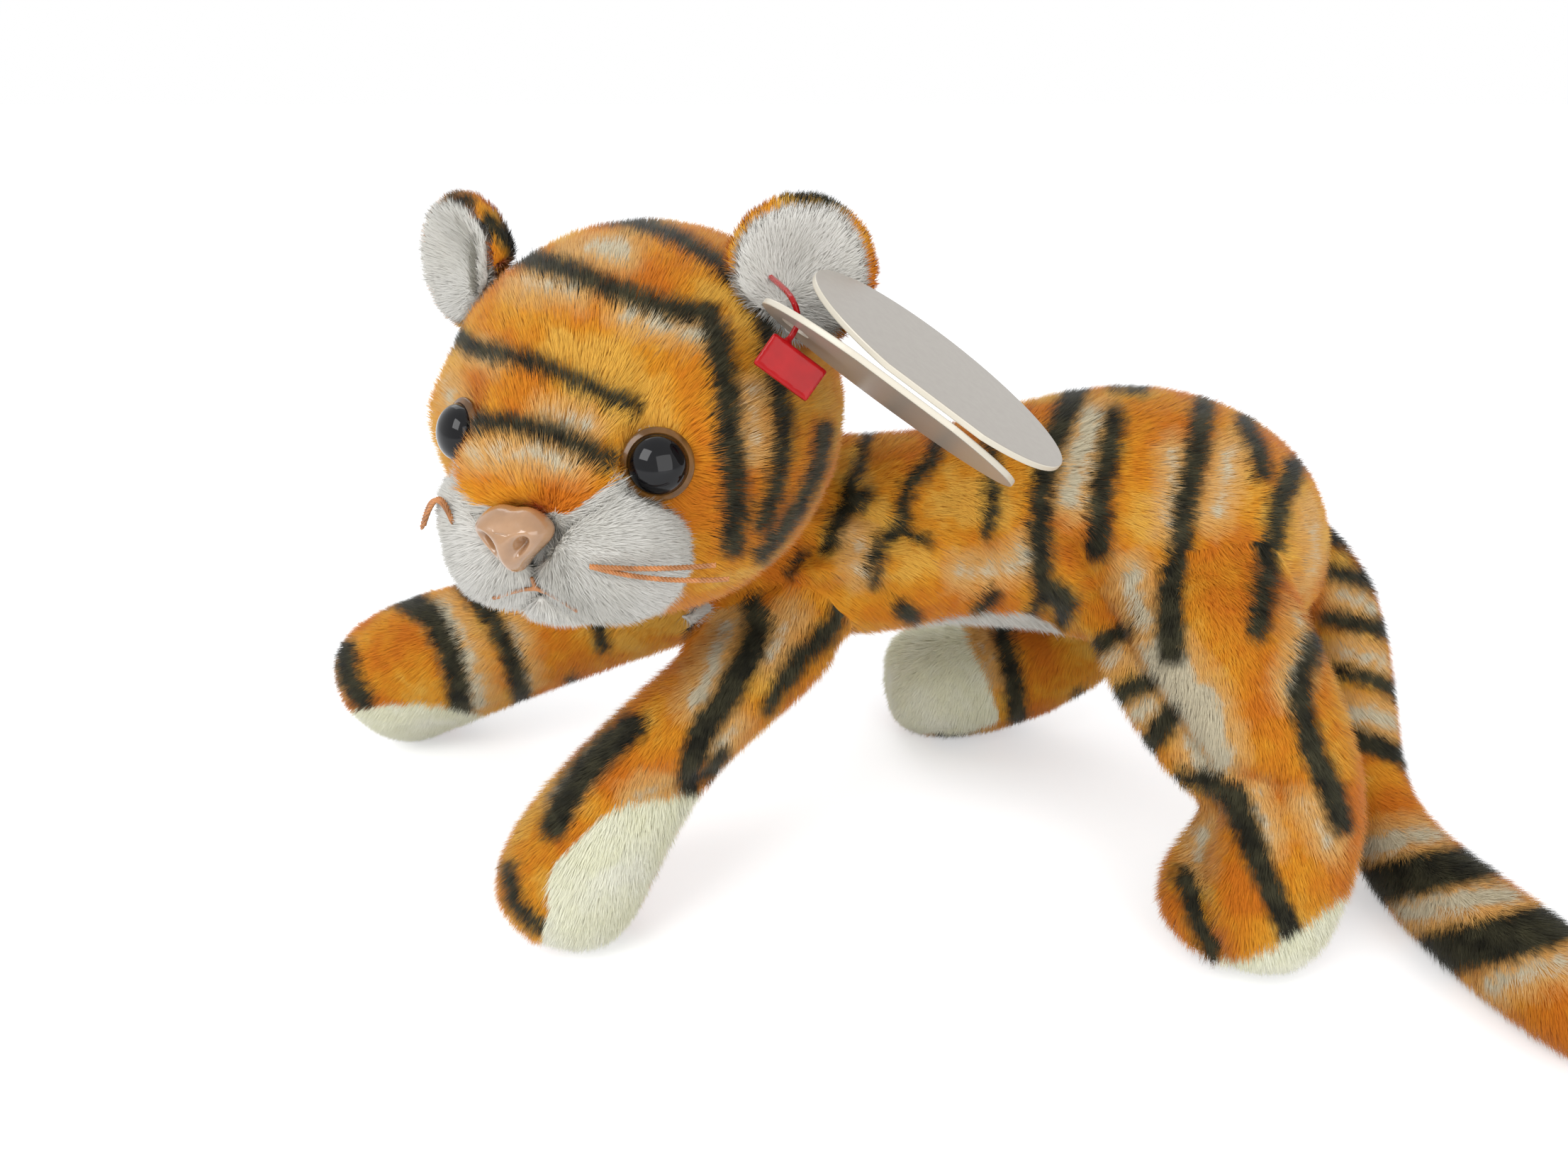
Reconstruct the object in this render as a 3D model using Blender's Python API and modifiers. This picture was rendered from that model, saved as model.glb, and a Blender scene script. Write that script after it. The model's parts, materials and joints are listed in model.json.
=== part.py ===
"""Bean-filled plush tiger that stands on four floppy legs, its head turned to one side.

X runs from the nose end to the tail, Y from the tiger's left side to its right side, Z up.
The floor is at Z = 0. Every stuffed form is a coarse cage of oval rings that Subdivision
Surface rounds off. The same rings, drawn in by the cover's thickness, make the hollow of the
cover and the filling that lies in it.
"""
import math

import bmesh
import bpy
from mathutils import Matrix, Vector

for old in list(bpy.data.objects):
    bpy.data.objects.remove(old, do_unlink=True)

OBJECT_NAME = "plush_tiger"

# Where the tiger stands: from the middle of its footprint to the frame its places are given in
TIGER_PLACE = Vector((-0.0178, 0.0105, 0.0))

# Body
BODY_LENGTH = 0.121
BODY_HEIGHT = 0.052
BODY_WIDTH = 0.055
BODY_RIDE_HEIGHT = 0.069
CHEST_X = -0.018
BELLY_PANEL_WIDTH = 0.026
BELLY_PANEL_REACH = 0.088
BELLY_PANEL_DEPTH_SHARE = 0.28
BELLY_MIDDLE_SHARES = (0.42, 0.0, -0.5)
CHEST_MIDDLE_SHARES = (0.15, -0.09, -0.02)

# Cloth and the clearances between pieces
COVER_THICKNESS = 0.0018
SEAM_GAP = 0.0003
RUN_GAP = 0.0005
FILLING_GAP = 0.0006
NECK_GAP = 0.0010
CUT_OVERRUN = 0.012

# Head
HEAD_LENGTH = 0.070
HEAD_WIDTH = 0.065
HEAD_HEIGHT = 0.062
CHIN_PLACE = Vector((-0.0222, -0.0188, 0.0643))
HEAD_YAW = math.radians(21.5)
HEAD_PITCH = math.radians(3.0)
HEAD_ROLL = math.radians(2.0)
NECK_REACH = 0.024
NECK_BALL_RADIUS = 0.0150
HEAD_NOD = math.radians(7.0)

# Muzzle, nose and mouth
CHEEK_WIDTH = 0.0245
CHEEK_DEPTH = 0.0200
CHEEK_HEIGHT = 0.0230
CHIN_WIDTH = 0.0220
CHIN_DEPTH = 0.0160
CHIN_HEIGHT = 0.0110
NOSE_WIDTH = 0.0128
NOSE_HEIGHT = 0.0098
NOSE_DEPTH = 0.0076
NOSE_POST_LENGTH = 0.0125
NOSTRIL_RADIUS = 0.0013
STITCH_RADIUS = 0.00040
WHISKER_RADIUS = 0.00045

# Eyes and the washers that lock eyes and nose to the cloth
EYE_RING_RADIUS = 0.0052
EYE_RING_THICKNESS = 0.0016
EYE_DOME_RADIUS = 0.0041
EYE_DOME_HEIGHT = 0.0030
POST_RADIUS = 0.0016
POST_RIB_HEIGHT = 0.0003
EYE_POST_LENGTH = 0.0085
WASHER_RADIUS = 0.0055
WASHER_THICKNESS = 0.0010

# Ears
EAR_WIDTH = 0.0240
EAR_HEIGHT = 0.0235
EAR_THICKNESS = 0.0110
EAR_DISH_RADIUS = 0.0200
EAR_LINING_SHARE = 0.91
EAR_DISH_SHARE = 0.06

# Swing tag
CARD_LENGTH = 0.042
CARD_WIDTH = 0.028
CARD_THICKNESS = 0.0009
CARD_FOLD_LENGTH = 0.015
CARD_OPENING = math.radians(24.0)
CARD_SHIFT = 0.0035
CARD_HOLE_RADIUS = 0.0022
CARD_HOLE_INSET = 0.0055
PIN_RADIUS = 0.00050
PADDLE_WIDTH = 0.0050
PADDLE_THICKNESS = 0.0016
PADDLE_LENGTH = 0.0088
PADDLE_DROP = 0.0050

# Worked out from the sizes: the gap all round a sewn piece, and the middle of the head
SEAM_ALLOWANCE = Vector((SEAM_GAP, SEAM_GAP, SEAM_GAP))
HEAD_PLACE = CHIN_PLACE + Vector((0.0, 0.0, HEAD_HEIGHT / 2))

# How far each moving piece swings from rest
LEG_SWING = math.radians(10.0)
TAIL_SWING = math.radians(10.0)

# Facets
LIMB_SIDES = 8
BODY_SIDES = 10
TAIL_SIDES = 8
FILLING_SIDES = 5
BODY_FILLING_SIDES = 7
ROUND_SIDES = 14
PATCH_SIDES = 12
WASHER_SIDES = 12
ROOM_RINGS = 4
FILLING_FIRST_RING = 2
DOME_STEPS = 5
CARD_STEPS = 26
PATH_STEPS = 4
CORD_ROUNDING = 2
POST_RIBS = 3
SMOOTH_LEVELS = 1
MERGE_DISTANCE = 0.000005
UNIT = 1.0
HALF = 0.5

# Each ring of the body: place along it, sideways, upwards, then half height and half width
BODY_RING_SHARES = (
    (0.00, -0.10, -0.04, 0.30, 0.30),
    (0.05, -0.10, -0.03, 0.58, 0.60),
    (0.15, -0.09, -0.02, 0.76, 0.79),
    (0.27, -0.07, -0.01, 0.73, 0.77),
    (0.38, -0.03, 0.00, 0.69, 0.74),
    (0.51, 0.02, 0.03, 0.82, 0.85),
    (0.66, 0.05, 0.02, 0.98, 0.98),
    (0.81, 0.07, -0.03, 0.97, 0.98),
    (0.93, 0.07, -0.08, 0.76, 0.78),
    (1.00, 0.07, -0.12, 0.38, 0.38),
)

# Each ring of the head: forward of its middle, upwards, then half width and half height
HEAD_RING_SHARES = (
    (-0.44, 0.05, 0.34, 0.34),
    (-0.37, 0.05, 0.68, 0.68),
    (-0.20, 0.04, 0.94, 0.93),
    (0.00, 0.02, 1.02, 1.02),
    (0.17, 0.00, 1.00, 0.98),
    (0.31, -0.04, 0.82, 0.82),
    (0.42, -0.09, 0.55, 0.52),
    (0.52, -0.06, 0.36, 0.28),
    (0.57, -0.06, 0.20, 0.15),
)

parts = bpy.data.collections.new(OBJECT_NAME)
cutters = bpy.data.collections.new("cutters")
for collection in (parts, cutters):
    bpy.context.scene.collection.children.link(collection)


def finish(name, colour, roughness, metallic=0.0):
    """One material with the piece's own colour."""
    material = bpy.data.materials.new(name)
    material.use_nodes = True
    shader = material.node_tree.nodes["Principled BSDF"]
    shader.inputs["Base Color"].default_value = (*colour, 1.0)
    shader.inputs["Roughness"].default_value = roughness
    shader.inputs["Metallic"].default_value = metallic
    material.diffuse_color = (*colour, 1.0)
    return material


STRIPED_PLUSH = finish("striped_plush", (0.72, 0.30, 0.06), 0.95)
WHITE_PLUSH = finish("white_plush", (0.86, 0.84, 0.84), 0.95)
CREAM_PLUSH = finish("cream_plush", (0.74, 0.75, 0.62), 0.95)
PELLETS = finish("plastic_pellets", (0.80, 0.80, 0.76), 0.50)
WADDING = finish("polyester_wadding", (0.90, 0.90, 0.88), 1.00)
BLACK_GLOSS = finish("black_gloss_plastic", (0.010, 0.010, 0.012), 0.06)
AMBER_GLOSS = finish("amber_gloss_plastic", (0.22, 0.10, 0.03), 0.10)
TAN_GLOSS = finish("tan_gloss_plastic", (0.56, 0.32, 0.19), 0.22)
WHITE_NYLON = finish("white_nylon", (0.78, 0.78, 0.76), 0.45)
BROWN_CORD = finish("brown_cord", (0.33, 0.14, 0.05), 0.70)
BROWN_THREAD = finish("brown_thread", (0.28, 0.13, 0.06), 0.80)
CARD = finish("coated_card", (0.76, 0.73, 0.71), 0.45)
RED_PLASTIC = finish("red_plastic", (0.62, 0.02, 0.02), 0.25)


def frame(name, place, parent=None, turn=(0, 0, 0)):
    """An empty that carries pieces, standing on a joint or turned with a piece."""
    empty = bpy.data.objects.new(name, None)
    parts.objects.link(empty)
    empty.parent = parent
    empty.location = place
    empty.rotation_euler = turn
    return empty


def piece(name, bm, parent, material):
    """One named piece, or a cutter where it has no material."""
    mesh = bpy.data.meshes.new(name)
    bm.to_mesh(mesh)
    bm.free()
    made = bpy.data.objects.new(name, mesh)
    made.parent = parent
    if material is None:
        cutters.objects.link(made)
        made.hide_render = True
        made.display_type = "WIRE"
    else:
        parts.objects.link(made)
        mesh.materials.append(material)
        mesh.shade_smooth()
    return made


def cut(target, tool, operation="DIFFERENCE"):
    """Takes one solid out of another, or keeps only what they share."""
    boolean = target.modifiers.new(tool.name, "BOOLEAN")
    boolean.operation = operation
    boolean.object = tool


def ring_matrix(centre, across, over):
    """Stands a unit circle at a centre, with two half axes as its radii."""
    along = across.cross(over).normalized()
    matrix = Matrix((across, over, along)).transposed().to_4x4()
    matrix.translation = centre
    return matrix


def stuffed_form(name, rings, sides, parent, material, inset=0.0, levels=SMOOTH_LEVELS):
    """A closed soft form through oval rings, drawn in or swelled by one distance."""
    swell = 3.0 / (2.0 + math.cos(2.0 * math.pi / sides))
    if levels == 0:
        swell = UNIT / math.cos(math.pi / sides)
    bm = bmesh.new()
    loops = []
    for centre, across, over in rings:
        made = bmesh.ops.create_circle(bm, segments=sides, radius=swell,
                                       matrix=ring_matrix(centre, across, over))
        loops.append({edge for vertex in made["verts"] for edge in vertex.link_edges})
    for first, second in zip(loops, loops[1:]):
        bmesh.ops.bridge_loops(bm, edges=list(first | second))
    bmesh.ops.holes_fill(bm, edges=list(loops[0] | loops[-1]), sides=sides)
    if levels == 0:
        bmesh.ops.triangulate(bm, faces=bm.faces)
    bmesh.ops.recalc_face_normals(bm, faces=bm.faces)
    made = piece(name, bm, parent, material)
    smooth = made.modifiers.new("stuffing", "SUBSURF")
    smooth.levels = levels
    smooth.render_levels = levels
    if inset:
        draw_in = made.modifiers.new("draw_in", "DISPLACE")
        draw_in.strength = -inset
        draw_in.mid_level = 0.0
    return made


def route_rings(route):
    """Rings along a route of (place, half depth, half breadth), all turned as little as can be."""
    places = [place for place, depth, breadth in route]
    rings = []
    side = Vector((0.0, 1.0, 0.0))
    for index, (place, depth, breadth) in enumerate(route):
        before = places[max(index - 1, 0)]
        after = places[min(index + 1, len(places) - 1)]
        along = (after - before).normalized()
        side = (side - along * side.dot(along)).normalized()
        rings.append((place, along.cross(side) * depth, side * breadth))
    return rings


def swing_room(name, route, parent, swing, swing_over=False):
    """The room a limb's root needs, as a plain cage that is wider by as far as the limb swings."""
    room = []
    for index in range(ROOM_RINGS):
        place, depth, breadth = route[index]
        shift = (breadth if swing_over else depth) * math.sin(swing)
        for other_place, other_depth, other_breadth in route[max(index - 1, 0):index + 2]:
            spacing = max((other_place - place).length, shift)
            depth += max(0.0, other_depth - depth) * shift / spacing
            breadth += max(0.0, other_breadth - breadth) * shift / spacing
        travel = place.length * math.sin(swing)
        if swing_over:
            along = (route[index + 1][0] - route[max(index - 1, 0)][0]).normalized()
            depth += breadth * math.sin(swing) * abs(along.z)
            breadth += travel
        else:
            depth += travel
        room.append((place, depth + RUN_GAP, breadth + RUN_GAP))
    place, depth, breadth = room[0]
    back = (place - route[1][0]).normalized()
    tilt = (breadth if swing_over else depth) * math.sin(swing)
    room[0] = (place + back * (RUN_GAP + tilt), depth, breadth)
    return stuffed_form(name + "_room", route_rings(room), LIMB_SIDES, parent, None, 0.0, 0)


def ball(name, centre, radii, parent, material, sides=ROUND_SIDES, turn=None):
    """An ellipsoid from a sphere primitive."""
    bm = bmesh.new()
    matrix = Matrix.Translation(centre)
    if turn is not None:
        matrix = matrix @ turn
    matrix = matrix @ Matrix.Diagonal((*radii, UNIT))
    bmesh.ops.create_uvsphere(bm, u_segments=sides, v_segments=sides // 2, radius=UNIT,
                              matrix=matrix)
    return piece(name, bm, parent, material)


def block(name, low, high, parent, material=None):
    """A box between two corners, from a cube primitive."""
    bm = bmesh.new()
    size = high - low
    matrix = Matrix.Translation((low + high) / 2) @ Matrix.Diagonal((*size, UNIT))
    bmesh.ops.create_cube(bm, size=UNIT, matrix=matrix)
    return piece(name, bm, parent, material)


def turned(name, profile, place, parent, material, sides=ROUND_SIDES, closed=False):
    """A turned piece: a profile of (radius, height) spun by a Screw modifier."""
    bm = bmesh.new()
    points = [bm.verts.new((radius, 0.0, height)) for radius, height in profile]
    if closed:
        points.append(points[0])
    for first, second in zip(points, points[1:]):
        bm.edges.new((first, second))
    made = piece(name, bm, parent, material)
    made.matrix_local = place
    screw = made.modifiers.new("spin", "SCREW")
    screw.steps = sides
    screw.render_steps = sides
    screw.use_merge_vertices = True
    screw.merge_threshold = MERGE_DISTANCE
    return made


def cord(name, points, radius, parent, material):
    """A round cord along its points, made a mesh so that it can be cut and joined."""
    curve = bpy.data.curves.new(name, "CURVE")
    curve.dimensions = "3D"
    curve.bevel_depth = radius
    curve.bevel_resolution = CORD_ROUNDING
    curve.use_fill_caps = True
    spline = curve.splines.new("POLY")
    spline.points.add(len(points) - 1)
    for point, place in zip(spline.points, points):
        point.co = (*place, UNIT)
    guide = bpy.data.objects.new(name, curve)
    parts.objects.link(guide)
    graph = bpy.context.evaluated_depsgraph_get()
    mesh = bpy.data.meshes.new_from_object(guide.evaluated_get(graph))
    bpy.data.objects.remove(guide, do_unlink=True)
    bm = bmesh.new()
    bm.from_mesh(mesh)
    bpy.data.meshes.remove(mesh)
    bmesh.ops.remove_doubles(bm, verts=bm.verts, dist=MERGE_DISTANCE)
    bmesh.ops.recalc_face_normals(bm, faces=bm.faces)
    return piece(name, bm, parent, material)


def smooth_path(points, steps=PATH_STEPS):
    """Points on a smooth curve through a few chosen ones."""
    path = []
    last = len(points) - 1
    for index in range(last):
        before = points[max(index - 1, 0)]
        start = points[index]
        end = points[index + 1]
        after = points[min(index + 2, last)]
        for step in range(steps):
            t = step / steps
            bend = (2 * before - 5 * start + 4 * end - after) * t * t
            twist = (3 * start - before - 3 * end + after) * t * t * t
            path.append((2 * start + (end - before) * t + bend + twist) / 2)
    path.append(points[last])
    return path


def facing(direction, upwards=Vector((0.0, 0.0, 1.0))):
    """A turn that points Z along a direction and keeps X level across it."""
    z = direction.normalized()
    x = upwards.cross(z).normalized()
    return Matrix((x, z.cross(x), z)).transposed().to_4x4()


tiger_frame = frame("tiger_frame", TIGER_PLACE)


def body_place(along, sideways, rise):
    """A place in the body given as shares of its length, width and height."""
    return Vector((CHEST_X + BODY_LENGTH * along, BODY_WIDTH * sideways,
                   BODY_RIDE_HEIGHT + BODY_HEIGHT * rise))


body_rings = []
for along, sideways, rise, half_height, half_width in BODY_RING_SHARES:
    body_rings.append((body_place(along, sideways, rise),
                       Vector((0.0, BODY_WIDTH / 2 * half_width, 0.0)),
                       Vector((0.0, 0.0, BODY_HEIGHT / 2 * half_height))))

# Neck: a ball of wadding on which the head nods and turns
chest_middle = body_place(*CHEST_MIDDLE_SHARES)
neck_direction = (chest_middle - HEAD_PLACE).normalized()
neck_place = HEAD_PLACE + neck_direction * NECK_REACH
neck_frame = frame("neck_frame", neck_place, tiger_frame)
head_frame = frame("head_frame", HEAD_PLACE - neck_place, neck_frame,
                   (HEAD_PITCH, -HEAD_ROLL, -HEAD_YAW))
ball("neck_stuffing", Vector((0.0, 0.0, 0.0)), (NECK_BALL_RADIUS,) * 3, neck_frame, WADDING)
neck_pocket = ball("neck_pocket", Vector((0.0, 0.0, 0.0)), (NECK_BALL_RADIUS + NECK_GAP,) * 3,
                   neck_frame, None)

# Legs: each a tapered bag from the hip or shoulder to the paw
LEG_ROOT_SHARES = {
    "front_left": (0.175, -0.31, -0.25),
    "front_right": (0.175, 0.25, -0.25),
    "hind_left": (0.720, -0.33, -0.12),
    "hind_right": (0.745, 0.40, -0.12),
}
LEG_PAWS = {
    "front_left": Vector((-0.0441, -0.0353, 0.0018)),
    "front_right": Vector((-0.0998, 0.0359, 0.0092)),
    "hind_left": Vector((0.0800, -0.0412, 0.0004)),
    "hind_right": Vector((0.0230, 0.0389, 0.0124)),
}
LEG_RADII = {
    "front_left": 0.0150,
    "front_right": 0.0170,
    "hind_left": 0.0175,
    "hind_right": 0.0160,
}

# Each ring: share of the way to the paw in X, Y and Z, then half depth and half breadth
LEG_RING_SHARES = {
    "front_left": (
        (-0.05, -0.20, -0.08, 0.44, 0.44),
        (0.00, 0.00, 0.00, 0.74, 0.70),
        (0.26, 0.36, 0.14, 0.70, 0.70),
        (0.54, 0.64, 0.35, 0.72, 0.74),
        (0.76, 0.82, 0.59, 0.89, 0.88),
        (0.91, 0.94, 0.84, 1.02, 0.96),
        (1.00, 1.00, 1.00, 0.76, 0.70),
    ),
    "front_right": (
        (-0.03, -0.22, -0.07, 0.40, 0.40),
        (0.00, 0.00, 0.00, 0.65, 0.62),
        (0.27, 0.44, 0.26, 0.72, 0.70),
        (0.55, 0.75, 0.52, 0.84, 0.82),
        (0.78, 0.92, 0.71, 0.98, 0.95),
        (0.92, 0.98, 0.88, 1.04, 0.97),
        (1.00, 1.00, 1.00, 0.80, 0.72),
    ),
    "hind_left": (
        (0.00, -0.18, -0.08, 0.80, 0.46),
        (0.15, 0.10, 0.04, 1.12, 0.70),
        (0.78, 0.38, 0.22, 1.04, 0.78),
        (1.35, 0.60, 0.38, 0.96, 0.75),
        (1.95, 0.76, 0.54, 0.78, 0.74),
        (1.20, 0.90, 0.80, 0.98, 0.86),
        (0.90, 1.00, 1.00, 0.80, 0.74),
    ),
    "hind_right": (
        (0.03, -0.22, -0.08, 0.84, 0.50),
        (0.00, 0.10, 0.03, 1.20, 0.76),
        (-0.06, 0.48, 0.34, 1.06, 0.83),
        (0.14, 0.80, 0.76, 0.92, 0.87),
        (0.52, 0.94, 0.95, 0.96, 0.93),
        (0.85, 0.99, 0.99, 0.92, 0.90),
        (1.00, 1.00, 1.00, 0.56, 0.56),
    ),
}

# How far out of the leg's middle a sole's outline is centred, as a share of its radius
SOLE_OUT_SHARE = 0.80

# Each sole: share down the leg, then its length, breadth and depth as shares of the radius
LEG_SOLE_SHARES = {
    "front_left": (0.83, 1.30, 0.72, 0.60),
    "front_right": (0.88, 1.35, 0.66, 0.60),
    "hind_left": (0.93, 0.95, 1.00, 0.70),
    "hind_right": (0.88, 1.25, 0.98, 0.66),
}
LEG_SOLE_DIRECTIONS = {
    "front_left": Vector((0.64, -0.74, -0.20)),
    "front_right": Vector((0.10, -0.62, -0.78)),
    "hind_left": Vector((0.30, -0.62, -0.60)),
    "hind_right": Vector((-0.35, -0.92, 0.00)),
}

floor_cutter = block("floor_cutter", Vector((CHEST_X - BODY_LENGTH, -BODY_LENGTH, -CUT_OVERRUN)),
                     Vector((CHEST_X + BODY_LENGTH * 2, BODY_LENGTH, 0.0)), tiger_frame)


def leg_route(name, pivot):
    """The leg's ring places and half sizes, measured from its pivot."""
    reach = LEG_PAWS[name] - pivot
    radius = LEG_RADII[name]
    route = []
    for x_share, y_share, z_share, depth, breadth in LEG_RING_SHARES[name]:
        place = Vector((reach.x * x_share, reach.y * y_share, reach.z * z_share))
        route.append((place, radius * depth, radius * breadth))
    return route


def lengthened(route):
    """The route with its root end drawn out, so that a hollow made on it opens there."""
    place, depth, breadth = route[0]
    back = (place - route[1][0]).normalized()
    return [(place + back * CUT_OVERRUN, depth, breadth)] + route


def bag(name, route, sides, parent):
    """A stuffed bag: its cover, and the hollow in it with its filling of pellets."""
    hollow = stuffed_form(name + "_hollow", route_rings(lengthened(route)), FILLING_SIDES, parent,
                          None, COVER_THICKNESS)
    inner = stuffed_form(name + "_filling", route_rings(route), FILLING_SIDES, parent, PELLETS,
                         COVER_THICKNESS + FILLING_GAP)
    cover = stuffed_form(name + "_cover", route_rings(route), sides, parent, STRIPED_PLUSH)
    cut(cover, hollow)
    cut(cover, floor_cutter)
    cut(inner, floor_cutter)
    return cover, hollow


leg_rooms = {}
for leg_name, root_shares in LEG_ROOT_SHARES.items():
    pivot_place = body_place(*root_shares)
    leg_frame = frame(leg_name + "_frame", pivot_place, tiger_frame)
    route = leg_route(leg_name, pivot_place)
    cover, hollow = bag(leg_name + "_leg", route, LIMB_SIDES, leg_frame)
    leg_share, *sole_size_shares = LEG_SOLE_SHARES[leg_name]
    sole_normal = LEG_SOLE_DIRECTIONS[leg_name].normalized()
    position = leg_share * (len(route) - 1)
    index = min(int(position), len(route) - 2)
    start, end = route[index][0], route[index + 1][0]
    middle = start.lerp(end, position - index)
    along = (end - start).normalized()
    along = (along - sole_normal * along.dot(sole_normal)).normalized()
    turn = Matrix((along, sole_normal.cross(along), sole_normal)).transposed().to_4x4()
    radius = LEG_RADII[leg_name]
    centre = middle + sole_normal * radius * SOLE_OUT_SHARE
    sizes = Vector(sole_size_shares) * radius
    region = ball(leg_name + "_sole_region", centre, sizes, leg_frame, None, PATCH_SIDES, turn)
    opening = ball(leg_name + "_sole_opening", centre, sizes + SEAM_ALLOWANCE,
                   leg_frame, None, PATCH_SIDES, turn)
    sole = stuffed_form(leg_name + "_sole", route_rings(route), LIMB_SIDES, leg_frame,
                        CREAM_PLUSH)
    cut(sole, region, "INTERSECT")
    cut(sole, hollow)
    cut(sole, floor_cutter)
    cut(cover, opening)
    leg_rooms[leg_name] = swing_room(leg_name, route, leg_frame, LEG_SWING)

# Tail: a thin bag that hangs from the rump and curls forward along the floor
TAIL_ROOT_SHARES = (0.935, 0.11, -0.07)
TAIL_TIP = Vector((0.1352, -0.0742, 0.0090))
TAIL_RADIUS = 0.0103
TAIL_RING_SHARES = (
    (-0.10, 0.02, -0.04, 0.68, 0.68),
    (0.04, 0.00, 0.02, 0.82, 0.82),
    (0.48, -0.07, 0.27, 0.83, 0.83),
    (0.56, 0.06, 0.66, 0.76, 0.76),
    (0.53, 0.21, 0.92, 0.80, 0.80),
    (0.58, 0.40, 0.99, 0.92, 0.92),
    (0.70, 0.62, 0.99, 1.00, 1.00),
    (0.87, 0.85, 0.99, 0.98, 0.98),
    (1.00, 1.00, 1.00, 0.62, 0.62),
)
tail_place = body_place(*TAIL_ROOT_SHARES)
tail_frame = frame("tail_frame", tail_place, tiger_frame)
tail_reach = TAIL_TIP - tail_place
tail_route = []
for x_share, y_share, z_share, depth, breadth in TAIL_RING_SHARES:
    tail_route.append((Vector((tail_reach.x * x_share, tail_reach.y * y_share,
                               tail_reach.z * z_share)),
                       TAIL_RADIUS * depth, TAIL_RADIUS * breadth))
bag("tail", tail_route, TAIL_SIDES, tail_frame)
tail_room = swing_room("tail", tail_route, tail_frame, TAIL_SWING, swing_over=True)

# Body: a striped back panel and a white belly panel round a filling of pellets, which starts
# behind the neck
body_hollow = stuffed_form("body_hollow", body_rings, BODY_FILLING_SIDES, tiger_frame, None,
                           COVER_THICKNESS)
back_panel = stuffed_form("back_panel", body_rings, BODY_SIDES, tiger_frame, STRIPED_PLUSH)
belly_panel = stuffed_form("belly_panel", body_rings, BODY_SIDES, tiger_frame, WHITE_PLUSH)
body_filling = stuffed_form("body_filling", body_rings[FILLING_FIRST_RING:], BODY_FILLING_SIDES,
                            tiger_frame, PELLETS, COVER_THICKNESS + FILLING_GAP)
belly_middle = body_place(*BELLY_MIDDLE_SHARES)
belly_sizes = Vector((BELLY_PANEL_REACH / 2, BELLY_PANEL_WIDTH / 2,
                      BODY_HEIGHT * BELLY_PANEL_DEPTH_SHARE))
belly_region = ball("belly_region", belly_middle, belly_sizes, tiger_frame, None)
belly_opening = ball("belly_opening", belly_middle, belly_sizes + SEAM_ALLOWANCE,
                     tiger_frame, None)
widest_share = max(half_width for forward, rise, half_width, half_height in HEAD_RING_SHARES)
head_travel = NECK_REACH * math.sin(HEAD_NOD)
head_sweep_radius = HEAD_WIDTH / 2 * widest_share + head_travel + RUN_GAP
head_sweep_height = HEAD_HEIGHT / 2 * widest_share + head_travel + RUN_GAP
head_sweep = ball("head_sweep", HEAD_PLACE,
                  (head_sweep_radius, head_sweep_radius, head_sweep_height), tiger_frame, None)
cut(back_panel, body_hollow)
cut(back_panel, belly_opening)
cut(belly_panel, body_hollow)
cut(belly_panel, belly_region, "INTERSECT")
for shell in (back_panel, belly_panel, body_filling):
    for room in leg_rooms.values():
        cut(shell, room)
    cut(shell, tail_room)
    cut(shell, head_sweep)
    cut(shell, neck_pocket)


def head_point(lateral, forward, rise):
    """A place in the head, given as shares of its half width, length and half height."""
    return Vector((HEAD_WIDTH / 2 * lateral, -HEAD_LENGTH * forward, HEAD_HEIGHT / 2 * rise))


# Head: a striped cover round wadding
head_rings = []
for forward, rise, half_width, half_height in HEAD_RING_SHARES:
    head_rings.append((head_point(0.0, forward, rise),
                       Vector((HEAD_WIDTH / 2 * half_width, 0.0, 0.0)),
                       Vector((0.0, 0.0, HEAD_HEIGHT / 2 * half_height))))
head_hollow = stuffed_form("head_hollow", head_rings, BODY_FILLING_SIDES, head_frame, None,
                           COVER_THICKNESS)
head_skin = stuffed_form("head_skin", head_rings, BODY_SIDES, head_frame, None, -SEAM_GAP)
head_cover = stuffed_form("head_cover", head_rings, BODY_SIDES, head_frame, STRIPED_PLUSH)
head_stuffing = stuffed_form("head_stuffing", head_rings, BODY_FILLING_SIDES, head_frame,
                             WADDING, COVER_THICKNESS + FILLING_GAP)
cut(head_cover, head_hollow)
cut(head_cover, neck_pocket)
cut(head_stuffing, neck_pocket)

# Nose: one glossy moulding with a post, locked behind the cloth by a washer
NOSE_SHARES = (0.0, 0.585, -0.14)
NOSE_DIRECTION = Vector((0.0, -1.0, 0.10))
NOSTRIL_SHARES = (0.36, 0.62, 0.10)
NOSE_FOOT_SHARE = 0.42
nose_place = Matrix.Translation(head_point(*NOSE_SHARES)) @ facing(NOSE_DIRECTION)


def nose_form(name, grow, material):
    """The nose's broad top and narrow foot, from a sphere primitive."""
    bm = bmesh.new()
    bmesh.ops.create_uvsphere(bm, u_segments=ROUND_SIDES, v_segments=ROUND_SIDES // 2,
                              radius=UNIT)
    for vertex in bm.verts:
        low = max(0.0, HALF - vertex.co.y) / (UNIT + HALF)
        vertex.co.x *= UNIT - (UNIT - NOSE_FOOT_SHARE) * low
        vertex.co.x *= NOSE_WIDTH / 2 + grow
        vertex.co.y *= NOSE_HEIGHT / 2 + grow
        vertex.co.z *= NOSE_DEPTH / 2 + grow
    made = piece(name, bm, head_frame, material)
    made.matrix_local = nose_place
    return made


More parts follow.
